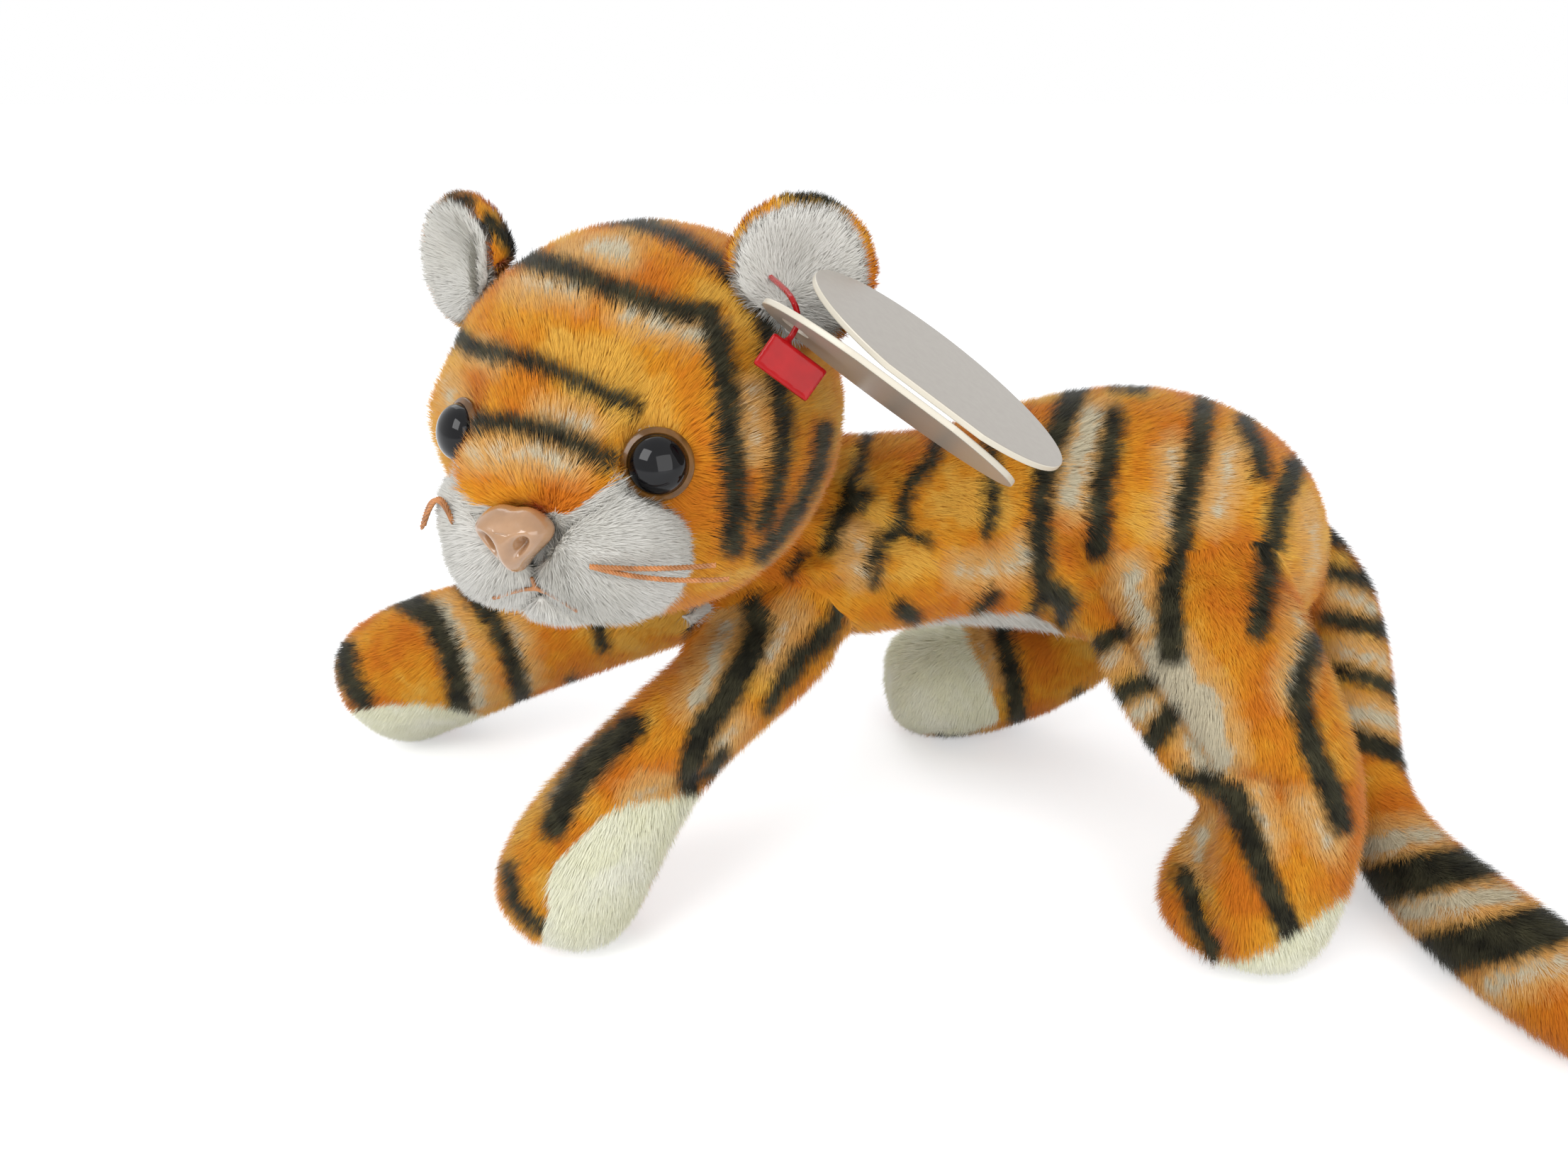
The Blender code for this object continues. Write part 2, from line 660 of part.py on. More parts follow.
def post_profile(top, bottom):
    """The outline of a ribbed post, from its top down to its end."""
    outline = []
    pitch = (top - bottom) / (2 * POST_RIBS)
    for rib in range(POST_RIBS):
        start = top - 2 * rib * pitch
        outline.append((POST_RADIUS, start))
        outline.append((POST_RADIUS + POST_RIB_HEIGHT, start - pitch))
    outline.append((POST_RADIUS, bottom))
    outline.append((0.0, bottom))
    return outline


def washer_and_space(name, place, seat_radius, seat_height, washer_height, post_length):
    """A lock washer on a post, and the room that seat, post and washer need in the cloth."""
    bore = POST_RADIUS + POST_RIB_HEIGHT + RUN_GAP / 2
    washer_foot = washer_height - WASHER_THICKNESS
    outline = [(bore, washer_height), (WASHER_RADIUS, washer_height),
               (WASHER_RADIUS, washer_foot), (bore, washer_foot)]
    turned(name + "_washer", outline, place, head_frame, WHITE_NYLON, WASHER_SIDES, True)
    wide = bore + SEAM_GAP
    rim = WASHER_RADIUS + SEAM_GAP
    room = [(0.0, seat_height + CUT_OVERRUN), (seat_radius, seat_height + CUT_OVERRUN),
            (seat_radius, seat_height - SEAM_GAP), (wide, seat_height - SEAM_GAP),
            (wide, washer_height + SEAM_GAP), (rim, washer_height + SEAM_GAP),
            (rim, washer_foot - SEAM_GAP), (wide, washer_foot - SEAM_GAP),
            (wide, -post_length - SEAM_GAP), (0.0, -post_length - SEAM_GAP)]
    return turned(name + "_space", room, place, head_frame, None, WASHER_SIDES)


nose = nose_form("nose", 0.0, TAN_GLOSS)
nose_post = turned("nose_post", [(0.0, 0.0)] + post_profile(0.0, -NOSE_POST_LENGTH), nose_place,
                   head_frame, None, WASHER_SIDES)
cut(nose, nose_post, "UNION")
for sign in (1, -1):
    across, up, out = NOSTRIL_SHARES
    nostril_place = Vector((sign * NOSE_WIDTH / 2 * across, NOSE_HEIGHT / 2 * up * HALF,
                            NOSE_DEPTH / 2 * (UNIT - out)))
    nostril = ball("nostril", nose_place @ nostril_place, (NOSTRIL_RADIUS,) * 3, head_frame,
                   None, WASHER_SIDES)
    cut(nose, nostril)
nose_room = nose_form("nose_room", SEAM_GAP, None)
nose_washer_height = -(NOSE_DEPTH / 2 + COVER_THICKNESS)
nose_space = washer_and_space("nose", nose_place, POST_RADIUS + POST_RIB_HEIGHT + RUN_GAP,
                              0.0, nose_washer_height, NOSE_POST_LENGTH)
cut(nose_room, nose_space, "UNION")
cut(head_cover, nose_room)
cut(head_stuffing, nose_room)

# Muzzle: two white cheeks and a chin, sewn on over the front of the head
CHEEK_SHARES = (0.26, 0.45, -0.25)
CHIN_SHARES = (0.0, 0.43, -0.50)
cheek_sizes = Vector((CHEEK_WIDTH, CHEEK_DEPTH, CHEEK_HEIGHT)) / 2
chin_sizes = Vector((CHIN_WIDTH, CHIN_DEPTH, CHIN_HEIGHT)) / 2
chin = ball("chin", head_point(*CHIN_SHARES), chin_sizes, head_frame, WHITE_PLUSH)
cut(chin, head_skin)
cheeks = {}
for side, sign in (("left", 1), ("right", -1)):
    lateral, forward, rise = CHEEK_SHARES
    middle = head_point(sign * lateral, forward, rise)
    cheek = ball("cheek_" + side, middle, cheek_sizes, head_frame, WHITE_PLUSH)
    other_half = block("other_half_" + side, Vector((-HEAD_WIDTH, -HEAD_LENGTH, -HEAD_HEIGHT)),
                       Vector((SEAM_GAP / 2, HEAD_LENGTH, HEAD_HEIGHT)), head_frame)
    other_half.scale.x = sign
    cut(cheek, nose_room)
    cut(cheek, head_skin)
    cut(cheek, other_half)
    cheek_space = ball("cheek_space_" + side, middle, cheek_sizes + SEAM_ALLOWANCE, head_frame,
                       None)
    cut(chin, cheek_space)
    cheeks[side] = cheek
cut(chin, nose_room)

# Eyes: an amber moulding with a ribbed post, a black dome on it and a washer behind the cloth
EYE_SHARES = {
    "left": (0.50, 0.405, 0.13),
    "right": (0.50, 0.405, 0.19),
}
EYE_DIRECTION = Vector((0.50, -0.80, 0.30))
for side, sign in (("left", 1), ("right", -1)):
    lateral, forward, rise = EYE_SHARES[side]
    direction = Vector((sign * EYE_DIRECTION.x, EYE_DIRECTION.y, EYE_DIRECTION.z))
    place = Matrix.Translation(head_point(sign * lateral, forward, rise)) @ facing(direction)
    rim = [(0.0, EYE_RING_THICKNESS), (EYE_DOME_RADIUS, EYE_RING_THICKNESS),
           (EYE_RING_RADIUS, EYE_RING_THICKNESS * HALF), (EYE_RING_RADIUS, 0.0)]
    turned("eye_ring_" + side, rim + post_profile(0.0, -EYE_POST_LENGTH), place, head_frame,
           AMBER_GLOSS, WASHER_SIDES)
    foot = EYE_RING_THICKNESS + SEAM_GAP / 2
    dome = []
    for step in range(DOME_STEPS):
        angle = math.pi / 2 * step / (DOME_STEPS - 1)
        dome.append((EYE_DOME_RADIUS * math.sin(angle), foot + EYE_DOME_HEIGHT * math.cos(angle)))
    turned("eye_dome_" + side, dome + [(0.0, foot)], place, head_frame, BLACK_GLOSS,
           ROUND_SIDES)
    washer_height = -(COVER_THICKNESS + SEAM_GAP)
    space = washer_and_space("eye_" + side, place, EYE_RING_RADIUS + SEAM_GAP, 0.0,
                             washer_height, EYE_POST_LENGTH)
    cut(head_cover, space)
    cut(head_stuffing, space)
    cut(cheeks[side], space)

# Ears: a striped back whose rim holds a dished white lining
EAR_SHARES = (0.88, 0.03, 0.80)
EAR_TURN = (math.radians(-8.0), math.radians(36.0), math.radians(18.0))
ear_sizes = Vector((EAR_WIDTH, EAR_THICKNESS, EAR_HEIGHT)) / 2
lining_sizes = Vector((ear_sizes.x * EAR_LINING_SHARE, ear_sizes.y,
                       ear_sizes.z * EAR_LINING_SHARE))
ear_frames = {}
for side, sign in (("left", 1), ("right", -1)):
    lateral, forward, rise = EAR_SHARES
    tip_back, lean, face_out = EAR_TURN
    ear_frame = frame("ear_frame_" + side, head_point(sign * lateral, forward, rise),
                      head_frame, (tip_back, sign * lean, sign * face_out))
    ear_frames[side] = ear_frame
    centre = Vector((0.0, 0.0, 0.0))
    dish_centre = Vector((0.0, -EAR_DISH_RADIUS - EAR_THICKNESS * EAR_DISH_SHARE, 0.0))
    dish = ball("ear_dish_" + side, dish_centre, (EAR_DISH_RADIUS,) * 3, ear_frame, None,
                PATCH_SIDES)
    bed_radius = EAR_DISH_RADIUS + COVER_THICKNESS
    bed = ball("ear_bed_" + side, dish_centre, (bed_radius,) * 3, ear_frame, None, PATCH_SIDES)
    bed_room = ball("ear_bed_room_" + side, dish_centre, (bed_radius + SEAM_GAP,) * 3,
                    ear_frame, None, PATCH_SIDES)
    lining_room = ball("ear_lining_room_" + side, centre, lining_sizes + SEAM_ALLOWANCE,
                       ear_frame, None)
    cut(lining_room, bed_room, "INTERSECT")
    ear_back = ball("ear_back_" + side, centre, ear_sizes, ear_frame, STRIPED_PLUSH)
    cut(ear_back, dish)
    cut(ear_back, lining_room)
    cut(ear_back, head_skin)
    lining = ball("ear_lining_" + side, centre, lining_sizes, ear_frame, WHITE_PLUSH)
    cut(lining, dish)
    cut(lining, bed, "INTERSECT")
    cut(lining, head_skin)

# Whiskers: on each cheek one cord, both ends of which stand out from one place in the cloth
WHISKER_ROOT_SHARES = (0.32, 0.602, -0.25)
WHISKER_END_SHARES = {
    "left": ((0.86, 0.52, -0.23), (0.93, 0.50, -0.34)),
    "right": ((0.86, 0.52, -0.08), (0.93, 0.50, -0.34)),
}
WHISKER_BOW_SHARE = 0.03


def whisker_pair(name, side, sign, radius, material):
    """The cord's two ends, joined at their root."""
    lateral, forward, rise = WHISKER_ROOT_SHARES
    root = head_point(sign * lateral, forward, rise)
    bow = head_point(0.0, WHISKER_BOW_SHARE, 0.0)
    routes = []
    for lateral, forward, rise in WHISKER_END_SHARES[side]:
        end = head_point(sign * lateral, forward, rise)
        routes.append(smooth_path([root, root.lerp(end, HALF) + bow, end]))
    pair = cord(name, routes[0], radius, head_frame, material)
    second = cord(name + "_second", routes[1], radius, head_frame, None)
    cut(pair, second, "UNION")
    return pair


for side, sign in (("left", 1), ("right", -1)):
    whisker_pair("whisker_" + side, side, sign, WHISKER_RADIUS, BROWN_CORD)
    channel = whisker_pair("whisker_channel_" + side, side, sign, WHISKER_RADIUS + SEAM_GAP, None)
    cut(cheeks[side], channel)

# Mouth: a stitched line below the nose that parts over the chin
STITCH_TOP_SHARES = (0.0, 0.557, -0.34)
STITCH_MIDDLE_SHARES = (0.0, 0.550, -0.41)
STITCH_END_SHARES = (0.22, 0.562, -0.48)
stitch_middle = head_point(*STITCH_MIDDLE_SHARES)
lateral, forward, rise = STITCH_END_SHARES
mouth_line = smooth_path([head_point(-lateral, forward, rise), stitch_middle,
                          head_point(lateral, forward, rise)])
philtrum_line = smooth_path([head_point(*STITCH_TOP_SHARES), stitch_middle])


def stitched_line(name, radius, material, overrun=0.0):
    """The thread's two lines, joined where they meet, with its ends drawn out."""
    first = mouth_line[0] + (mouth_line[0] - mouth_line[1]).normalized() * overrun
    last = mouth_line[-1] + (mouth_line[-1] - mouth_line[-2]).normalized() * overrun
    drawn_out = [first] + mouth_line[1:-1] + [last]
    line = cord(name, drawn_out, radius, head_frame, material)
    upright = cord(name + "_upright", philtrum_line, radius, head_frame, None)
    cut(line, upright, "UNION")
    return line


stitched_line("mouth_stitch", STITCH_RADIUS, BROWN_THREAD)
stitch_channel = stitched_line("stitch_channel", STITCH_RADIUS + SEAM_GAP, None, SEAM_GAP * 2)
for shell in (cheeks["left"], cheeks["right"], chin):
    cut(shell, stitch_channel)

# Bib: the white point of chest that shows under the chin
BIB_RING_SHARES = (
    (0.060, -0.17, -0.08, 0.07, 0.22),
    (0.015, -0.28, -0.13, 0.07, 0.19),
    (-0.010, -0.38, -0.20, 0.06, 0.12),
    (-0.020, -0.43, -0.27, 0.03, 0.04),
)
bib_route = []
for along, sideways, rise, half_depth, half_width in BIB_RING_SHARES:
    bib_route.append((body_place(along, sideways, rise), BODY_HEIGHT / 2 * half_depth,
                      BODY_WIDTH / 2 * half_width))
body_skin = stuffed_form("body_skin", body_rings, BODY_SIDES, tiger_frame, None, -SEAM_GAP)
bib = stuffed_form("bib", route_rings(bib_route), FILLING_SIDES, tiger_frame, WHITE_PLUSH)
cut(bib, body_skin)
cut(bib, head_sweep)
cut(bib, neck_pocket)
cut(bib, leg_rooms["front_left"])

# Swing tag: a folded card that hangs on a red plastic pin through the left ear
CARD_HANG = Vector((0.0162, -0.0163, -0.0127))
CARD_RUN = Vector((0.81, -0.10, -0.58)).normalized()
CARD_DEPTH = Vector((0.0, 0.94, -0.33))
PIN_START_SHARES = (-0.2925, -0.4916, -0.2112)
PADDLE_SHIFT_SHARE = 0.55
pin_start = Vector(PIN_START_SHARES) * ear_sizes
for carrier in (ear_frames["left"], head_frame):
    carrier_turn = carrier.rotation_euler.to_matrix()
    pin_start = carrier.location + carrier_turn @ pin_start
card_side = (CARD_DEPTH - CARD_RUN * CARD_DEPTH.dot(CARD_RUN)).normalized()
card_up = CARD_RUN.cross(card_side)
half_fold = math.asin(CARD_FOLD_LENGTH / CARD_LENGTH)
leaf_middle_y = CARD_WIDTH / 2 * math.cos(half_fold)
card_turn = Matrix((CARD_RUN, card_side, card_up)).transposed().to_4x4()
fold_place = Matrix.Translation(pin_start + CARD_HANG - card_side * leaf_middle_y) @ card_turn


def card_leaf(name, place, hole):
    """One oval leaf of card whose straight side lies on the fold."""
    curve = bpy.data.curves.new(name, "CURVE")
    curve.dimensions = "2D"
    curve.fill_mode = "BOTH"
    curve.extrude = CARD_THICKNESS / 2
    spline = curve.splines.new("POLY")
    spline.points.add(CARD_STEPS)
    spline.use_cyclic_u = True
    for step, point in enumerate(spline.points):
        angle = -math.pi / 2 + half_fold + (2 * math.pi - 2 * half_fold) * step / CARD_STEPS
        point.co = (CARD_LENGTH / 2 * math.cos(angle),
                    leaf_middle_y + CARD_WIDTH / 2 * math.sin(angle), 0.0, UNIT)
    guide = bpy.data.objects.new(name, curve)
    parts.objects.link(guide)
    graph = bpy.context.evaluated_depsgraph_get()
    mesh = bpy.data.meshes.new_from_object(guide.evaluated_get(graph))
    bpy.data.objects.remove(guide, do_unlink=True)
    bm = bmesh.new()
    bm.from_mesh(mesh)
    bpy.data.meshes.remove(mesh)
    bmesh.ops.remove_doubles(bm, verts=bm.verts, dist=MERGE_DISTANCE)
    bmesh.ops.recalc_face_normals(bm, faces=bm.faces)
    leaf = piece(name, bm, neck_frame, CARD)
    leaf.matrix_local = place
    if hole is not None:
        cut(leaf, hole)
    return leaf


hole_middle = Vector((CARD_HOLE_INSET - CARD_LENGTH / 2, leaf_middle_y, 0.0))
hole_place = fold_place @ Matrix.Translation(hole_middle)
hole = turned("card_hole", [(0.0, CUT_OVERRUN), (CARD_HOLE_RADIUS, CUT_OVERRUN),
                            (CARD_HOLE_RADIUS, -CUT_OVERRUN), (0.0, -CUT_OVERRUN)],
              hole_place, neck_frame, None)
card_leaf("tag_leaf_back", fold_place, hole)
opened = Matrix.Translation(Vector((CARD_SHIFT, 0.0, CARD_THICKNESS + SEAM_GAP)))
opened = fold_place @ opened @ Matrix.Rotation(CARD_OPENING, 4, "X")
card_leaf("tag_leaf_front", opened, None)

pin_top = fold_place @ (hole_middle + Vector((-CARD_HOLE_INSET / 2, 0.0, PADDLE_DROP / 2)))
pin_middle = fold_place @ hole_middle
pin_foot = fold_place @ (hole_middle + Vector((0.0, 0.0, -PADDLE_DROP)))
pin = cord("tag_pin", smooth_path([pin_start, pin_top, pin_middle, pin_foot]), PIN_RADIUS,
           neck_frame, RED_PLASTIC)
paddle_size = Vector((PADDLE_LENGTH, PADDLE_THICKNESS, PADDLE_WIDTH))
paddle_middle = hole_middle + Vector((PADDLE_LENGTH * HALF * PADDLE_SHIFT_SHARE, 0.0,
                                      -PADDLE_DROP))
paddle = block("tag_paddle", paddle_size / -2, paddle_size / 2, neck_frame)
paddle.matrix_local = fold_place @ Matrix.Translation(paddle_middle)
cut(pin, paddle, "UNION")
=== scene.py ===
"""Looks of a bean-filled plush tiger: sewn plush with its pile, moulded eyes and nose, cord
whiskers and a blank card tag, round the fixed solids of the part."""
import json
import math

import bmesh
import bpy
import numpy as np
from mathutils import Matrix, Vector
from mathutils.bvhtree import BVHTree


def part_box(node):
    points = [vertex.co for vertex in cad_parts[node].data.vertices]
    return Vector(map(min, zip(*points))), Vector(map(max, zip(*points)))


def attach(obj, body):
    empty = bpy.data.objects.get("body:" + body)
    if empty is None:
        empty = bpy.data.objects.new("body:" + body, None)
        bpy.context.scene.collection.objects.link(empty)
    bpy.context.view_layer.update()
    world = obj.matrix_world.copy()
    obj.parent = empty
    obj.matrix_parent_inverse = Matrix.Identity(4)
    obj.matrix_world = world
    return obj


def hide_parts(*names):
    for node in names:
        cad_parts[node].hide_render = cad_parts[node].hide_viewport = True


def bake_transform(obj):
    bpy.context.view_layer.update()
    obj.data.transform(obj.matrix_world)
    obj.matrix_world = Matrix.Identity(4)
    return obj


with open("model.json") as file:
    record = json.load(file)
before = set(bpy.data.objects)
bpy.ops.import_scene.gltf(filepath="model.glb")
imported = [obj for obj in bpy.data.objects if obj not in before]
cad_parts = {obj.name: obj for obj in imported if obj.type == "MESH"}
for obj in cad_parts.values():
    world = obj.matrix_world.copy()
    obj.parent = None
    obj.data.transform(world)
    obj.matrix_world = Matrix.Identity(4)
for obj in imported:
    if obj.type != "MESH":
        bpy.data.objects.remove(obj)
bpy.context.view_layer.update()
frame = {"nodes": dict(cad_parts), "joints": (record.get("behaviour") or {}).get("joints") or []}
nodes = frame["nodes"]
stage = bpy.context.scene
stage.view_settings.view_transform = "Standard"

# ---------------------------------------------------------------- camera, floor and studio light
# A phone's main camera, a hand's length above the toy and looking down at it; a pale floor and
# large soft lamps round it.
CAMERA_PLACE = Vector((-0.0178, -0.1965, 0.152))
CAMERA_DOWN = math.radians(25.0)
FOCAL_PIXELS = 1662.0
PHOTO_SIZE = (2212.0, 1659.0)
SENSOR_WIDTH = 36.0
SKY_STRENGTH = 0.74
FLOOR_GLOW = 0.42
FLOOR_REACH = 3.0
WHITE = (1.0, 1.0, 1.0, 1.0)


def linked(name, data):
    """An object of the given data, set on the stage."""
    made = bpy.data.objects.new(name, data)
    stage.collection.objects.link(made)
    return made


def mesh_of(name, worked):
    """The mesh of what was worked on, which is then let go."""
    mesh = bpy.data.meshes.new(name)
    worked.to_mesh(mesh)
    worked.free()
    return mesh


def add_node(tree, kind, values=()):
    """A new node of a material, with the values of its sockets."""
    made = tree.nodes.new("ShaderNode" + kind)
    for socket, value in dict(values).items():
        made.inputs[socket].default_value = value
    return made


def new_paint(name, values):
    """A new material with the values of its shader, its node tree and that shader."""
    paint = bpy.data.materials.new(name)
    paint.use_nodes = True
    shader = paint.node_tree.nodes["Principled BSDF"]
    for socket, value in values.items():
        shader.inputs[socket].default_value = value
    return paint, paint.node_tree, shader


camera_data = bpy.data.cameras.new("camera")
camera_data.sensor_width = SENSOR_WIDTH
camera_data.lens = SENSOR_WIDTH * FOCAL_PIXELS / PHOTO_SIZE[0]
camera_data.clip_start = 0.005
camera = linked("camera", camera_data)
camera.location = CAMERA_PLACE
camera.rotation_euler = (math.pi / 2 - CAMERA_DOWN, 0.0, 0.0)
stage.camera = camera


def seen(tree):
    """One where a ray comes from the camera, a reflection or through glass, and otherwise none."""
    sight = add_node(tree, "LightPath")
    total = sight.outputs["Is Camera Ray"]
    for ray in ("Is Glossy Ray", "Is Transmission Ray"):
        either = add_node(tree, "Math")
        either.operation = "MAXIMUM"
        tree.links.new(total, either.inputs[0])
        tree.links.new(sight.outputs[ray], either.inputs[1])
        total = either.outputs[0]
    return total


world = bpy.data.worlds.new("studio")
stage.world = world
world.use_nodes = True
tree = world.node_tree
sky = tree.nodes["Background"]
sky.inputs["Color"].default_value = (0.95, 0.97, 1.0, 1.0)
sky.inputs["Strength"].default_value = SKY_STRENGTH
seen_sky = add_node(tree, "Background", {"Color": WHITE})
blend = add_node(tree, "MixShader")
tree.links.new(seen(tree), blend.inputs["Fac"])
tree.links.new(sky.outputs["Background"], blend.inputs[1])
tree.links.new(seen_sky.outputs["Background"], blend.inputs[2])
tree.links.new(blend.outputs["Shader"], tree.nodes["World Output"].inputs["Surface"])

for name, place, power, size in (("key_lamp", (-0.55, -0.65, 0.80), 6.0, 0.60),
                                 ("fill_lamp", (0.45, -0.85, 0.40), 4.2, 0.80),
                                 ("back_lamp", (-0.30, 0.80, 0.80), 2.0, 0.70)):
    lamp = bpy.data.lights.new(name, "AREA")
    lamp.energy = power
    lamp.size = size
    holder = linked(name, lamp)
    holder.location = place
    aim = Vector(place) - Vector((0.0, 0.0, 0.05))
    holder.rotation_euler = aim.to_track_quat("Z", "Y").to_euler()

ground = bmesh.new()
bmesh.ops.create_grid(ground, x_segments=1, y_segments=1, size=FLOOR_REACH)
floor = linked("floor", mesh_of("floor", ground))
floor_paint, tree, matt = new_paint("pale_floor", {"Base Color": (0.86, 0.86, 0.86, 1.0),
                                                   "Roughness": 0.9})
white = add_node(tree, "Emission", {"Color": WHITE, "Strength": FLOOR_GLOW})
blend = add_node(tree, "MixShader")
add = add_node(tree, "AddShader")
tree.links.new(matt.outputs["BSDF"], add.inputs[0])
tree.links.new(white.outputs["Emission"], add.inputs[1])
tree.links.new(seen(tree), blend.inputs["Fac"])
tree.links.new(matt.outputs["BSDF"], blend.inputs[1])
tree.links.new(add.outputs["Shader"], blend.inputs[2])
tree.links.new(blend.outputs["Shader"], tree.nodes["Material Output"].inputs["Surface"])
floor.data.materials.append(floor_paint)

# ---------------------------------------------------------------- coat: trunk, legs, neck and tail
# The trunk, the four legs and the tail are one sewn bag of striped plush, half filled with
# pellets, with white plush under the belly and cream soles. The legs bend at their roots.

# The cloth: woven plush whose fine bright fibres, about 3 mm long, lie one way. The stripes are
# printed on the pile, so they have soft edges; the plain panels are dyed.
NO_INK, FULL_INK = (0.0, 0.0, 0.0), (1.0, 1.0, 1.0)


def plush(name, colours, stripe_colour=None, pale_colours=None, panel_colours=None):
    """Pile dyed in patches of a few colours, with a print of stripes and pale patches and with
    plain panels where it has them."""
    cloth, tree, shader = new_paint(name, {
        "Roughness": 0.72, "Specular IOR Level": 0.20, "Sheen Weight": 0.12,
        "Sheen Roughness": 0.45})
    link = tree.links.new
    place = add_node(tree, "TexCoord")

    def noise(scale, detail):
        made = add_node(tree, "TexNoise", {"Scale": scale, "Detail": detail})
        link(place.outputs["Object"], made.inputs["Vector"])
        return made.outputs["Fac"]

    def worn(name):
        made = add_node(tree, "Attribute")
        made.attribute_name = name
        return made.outputs["Fac"]

    def sum_of(first, second, share):
        made = add_node(tree, "Math")
        made.operation = "MULTIPLY_ADD"
        link(second, made.inputs[0])
        made.inputs[1].default_value = share
        link(first, made.inputs[2])
        return made.outputs[0]

    def ramp(fac, stops):
        made = add_node(tree, "ValToRGB")
        link(fac, made.inputs["Fac"])
        elements = made.color_ramp.elements
        while len(elements) < len(stops):
            elements.new(0.5)
        for element, (position, colour) in zip(elements, stops):
            element.position = position
            element.color = (*colour, 1.0)
        return made.outputs["Color"]

    def mixed(fac, first, second, kind="MIX"):
        made = add_node(tree, "Mix")
        made.data_type = "RGBA"
        made.blend_type = kind
        if isinstance(fac, float):
            made.inputs["Factor"].default_value = fac
        else:
            link(fac, made.inputs["Factor"])
        link(first, made.inputs["A"])
        link(second, made.inputs["B"])
        return made.outputs["Result"]

    steps = len(colours) - 1
    colour = ramp(sum_of(noise(70.0, 3.0), noise(420.0, 2.0), 0.22),
                  [(0.47 + 0.28 * i / steps, c) for i, c in enumerate(colours)])
    if pale_colours is not None:
        spread = sum_of(worn("pale"), noise(380.0, 3.0), 0.55)
        for (start, end), pale in zip(((0.42, 0.80), (0.85, 1.30)), pale_colours):
            faded = ramp(spread, [(start, NO_INK), (min(end, 1.0), FULL_INK)])
            tinted = ramp(noise(160.0, 2.0), [(0.35, [part * 0.94 for part in pale]), (0.70, pale)])
            colour = mixed(faded, colour, tinted)
    if stripe_colour is not None:
        printed = ramp(sum_of(worn("stripe"), noise(620.0, 3.0), 0.50),
                       [(0.58, NO_INK), (0.92, FULL_INK)])
        dark = ramp(noise(260.0, 2.0), [(0.35, stripe_colour[0]), (0.70, stripe_colour[1])])
        colour = mixed(printed, colour, dark)
    if panel_colours is not None:
        within = ramp(sum_of(worn("panel"), noise(700.0, 2.0), 0.30),
                      [(0.60, NO_INK), (0.72, FULL_INK)])
        plain = ramp(noise(200.0, 2.0), [(0.40, panel_colours[0]), (0.60, panel_colours[1])])
        colour = mixed(within, colour, plain)
    # The fibres are darkened towards their roots: painted shade deep in the pile
    rooted = ramp(worn("tip"), [(0.0, (0.90, 0.88, 0.87)), (0.40, FULL_INK), (1.0, FULL_INK)])
    each = ramp(worn("strand"), [(0.0, (0.93, 0.93, 0.93)), (1.0, FULL_INK)])
    colour = mixed(1.0, mixed(1.0, colour, rooted, "MULTIPLY"), each, "MULTIPLY")
    link(colour, shader.inputs["Base Color"])
    return cloth


DYES = [(0.66, 0.185, 0.007), (0.71, 0.24, 0.009), (0.76, 0.315, 0.016), (0.80, 0.43, 0.060)]
STRIPE_INK = [(0.012, 0.011, 0.005), (0.060, 0.054, 0.026)]
PALE_DYES = [(0.78, 0.43, 0.13), (0.68, 0.60, 0.42)]
WHITES = [(0.66, 0.64, 0.58), (0.70, 0.68, 0.625), (0.74, 0.72, 0.67)]
CREAMS = [(0.88, 0.87, 0.64), (0.91, 0.90, 0.70), (0.94, 0.93, 0.77)]
striped_plush = plush("striped_plush", DYES, STRIPE_INK, PALE_DYES, WHITES)
striped_limb_plush = plush("striped_limb_plush", DYES, STRIPE_INK, PALE_DYES, CREAMS)
white_plush = plush("white_plush", WHITES)
cream_plush = plush("cream_plush", CREAMS)

# The print: each stripe or pale patch is a chalk line of points in the photograph's frame with
# its width there, and goes on round the piece.
SIDE_STRIPES = (
    (16, ((1216, 610), (1205, 650), (1193, 700))),
    (18, ((1318, 612), (1306, 650), (1278, 680), (1262, 712), (1266, 740))),
    (18, ((1384, 622), (1390, 665), (1392, 710), (1386, 745))),
    (28, ((1510, 556), (1492, 590), (1470, 640), (1458, 700), (1456, 760), (1462, 830))),
    (28, ((1560, 598), (1550, 650), (1540, 710), (1543, 765))),
    (29, ((1684, 582), (1672, 650), (1658, 710), (1652, 775), (1650, 840), (1654, 910))),
    (24, ((1742, 602), (1760, 640), (1766, 670))),
    (27, ((1812, 664), (1790, 710), (1780, 775), (1775, 830), (1768, 880))),
    (16, ((1560, 552), (1600, 556))),
    (26, ((1880, 775), (1866, 850), (1845, 895), (1826, 945), (1828, 990), (1846, 1050),
          (1872, 1105), (1884, 1150))),
    (22, ((1262, 850), (1275, 862))), (18, ((1392, 830), (1370, 852))),
    (22, ((1160, 770), (1180, 722), (1210, 700))), (16, ((1110, 800), (1124, 775))),
    (18, ((1221, 811), (1230, 765), (1253, 742))), (14, ((1262, 742), (1300, 760))),
    (24, ((1470, 815), (1495, 840), (1490, 862))), (24, ((1527, 918), (1560, 896), (1590, 880))),
    (24, ((1562, 985), (1592, 962), (1622, 950))), (27, ((1622, 1040), (1640, 1014), (1652, 994))),
    (20, ((1665, 1082), (1700, 1090))), (16, ((1440, 868), (1452, 845))),
    (28, ((1700, 1088), (1738, 1108), (1760, 1150), (1776, 1200), (1795, 1250), (1815, 1300))),
    (24, ((1676, 1232), (1688, 1280), (1712, 1330))),
)
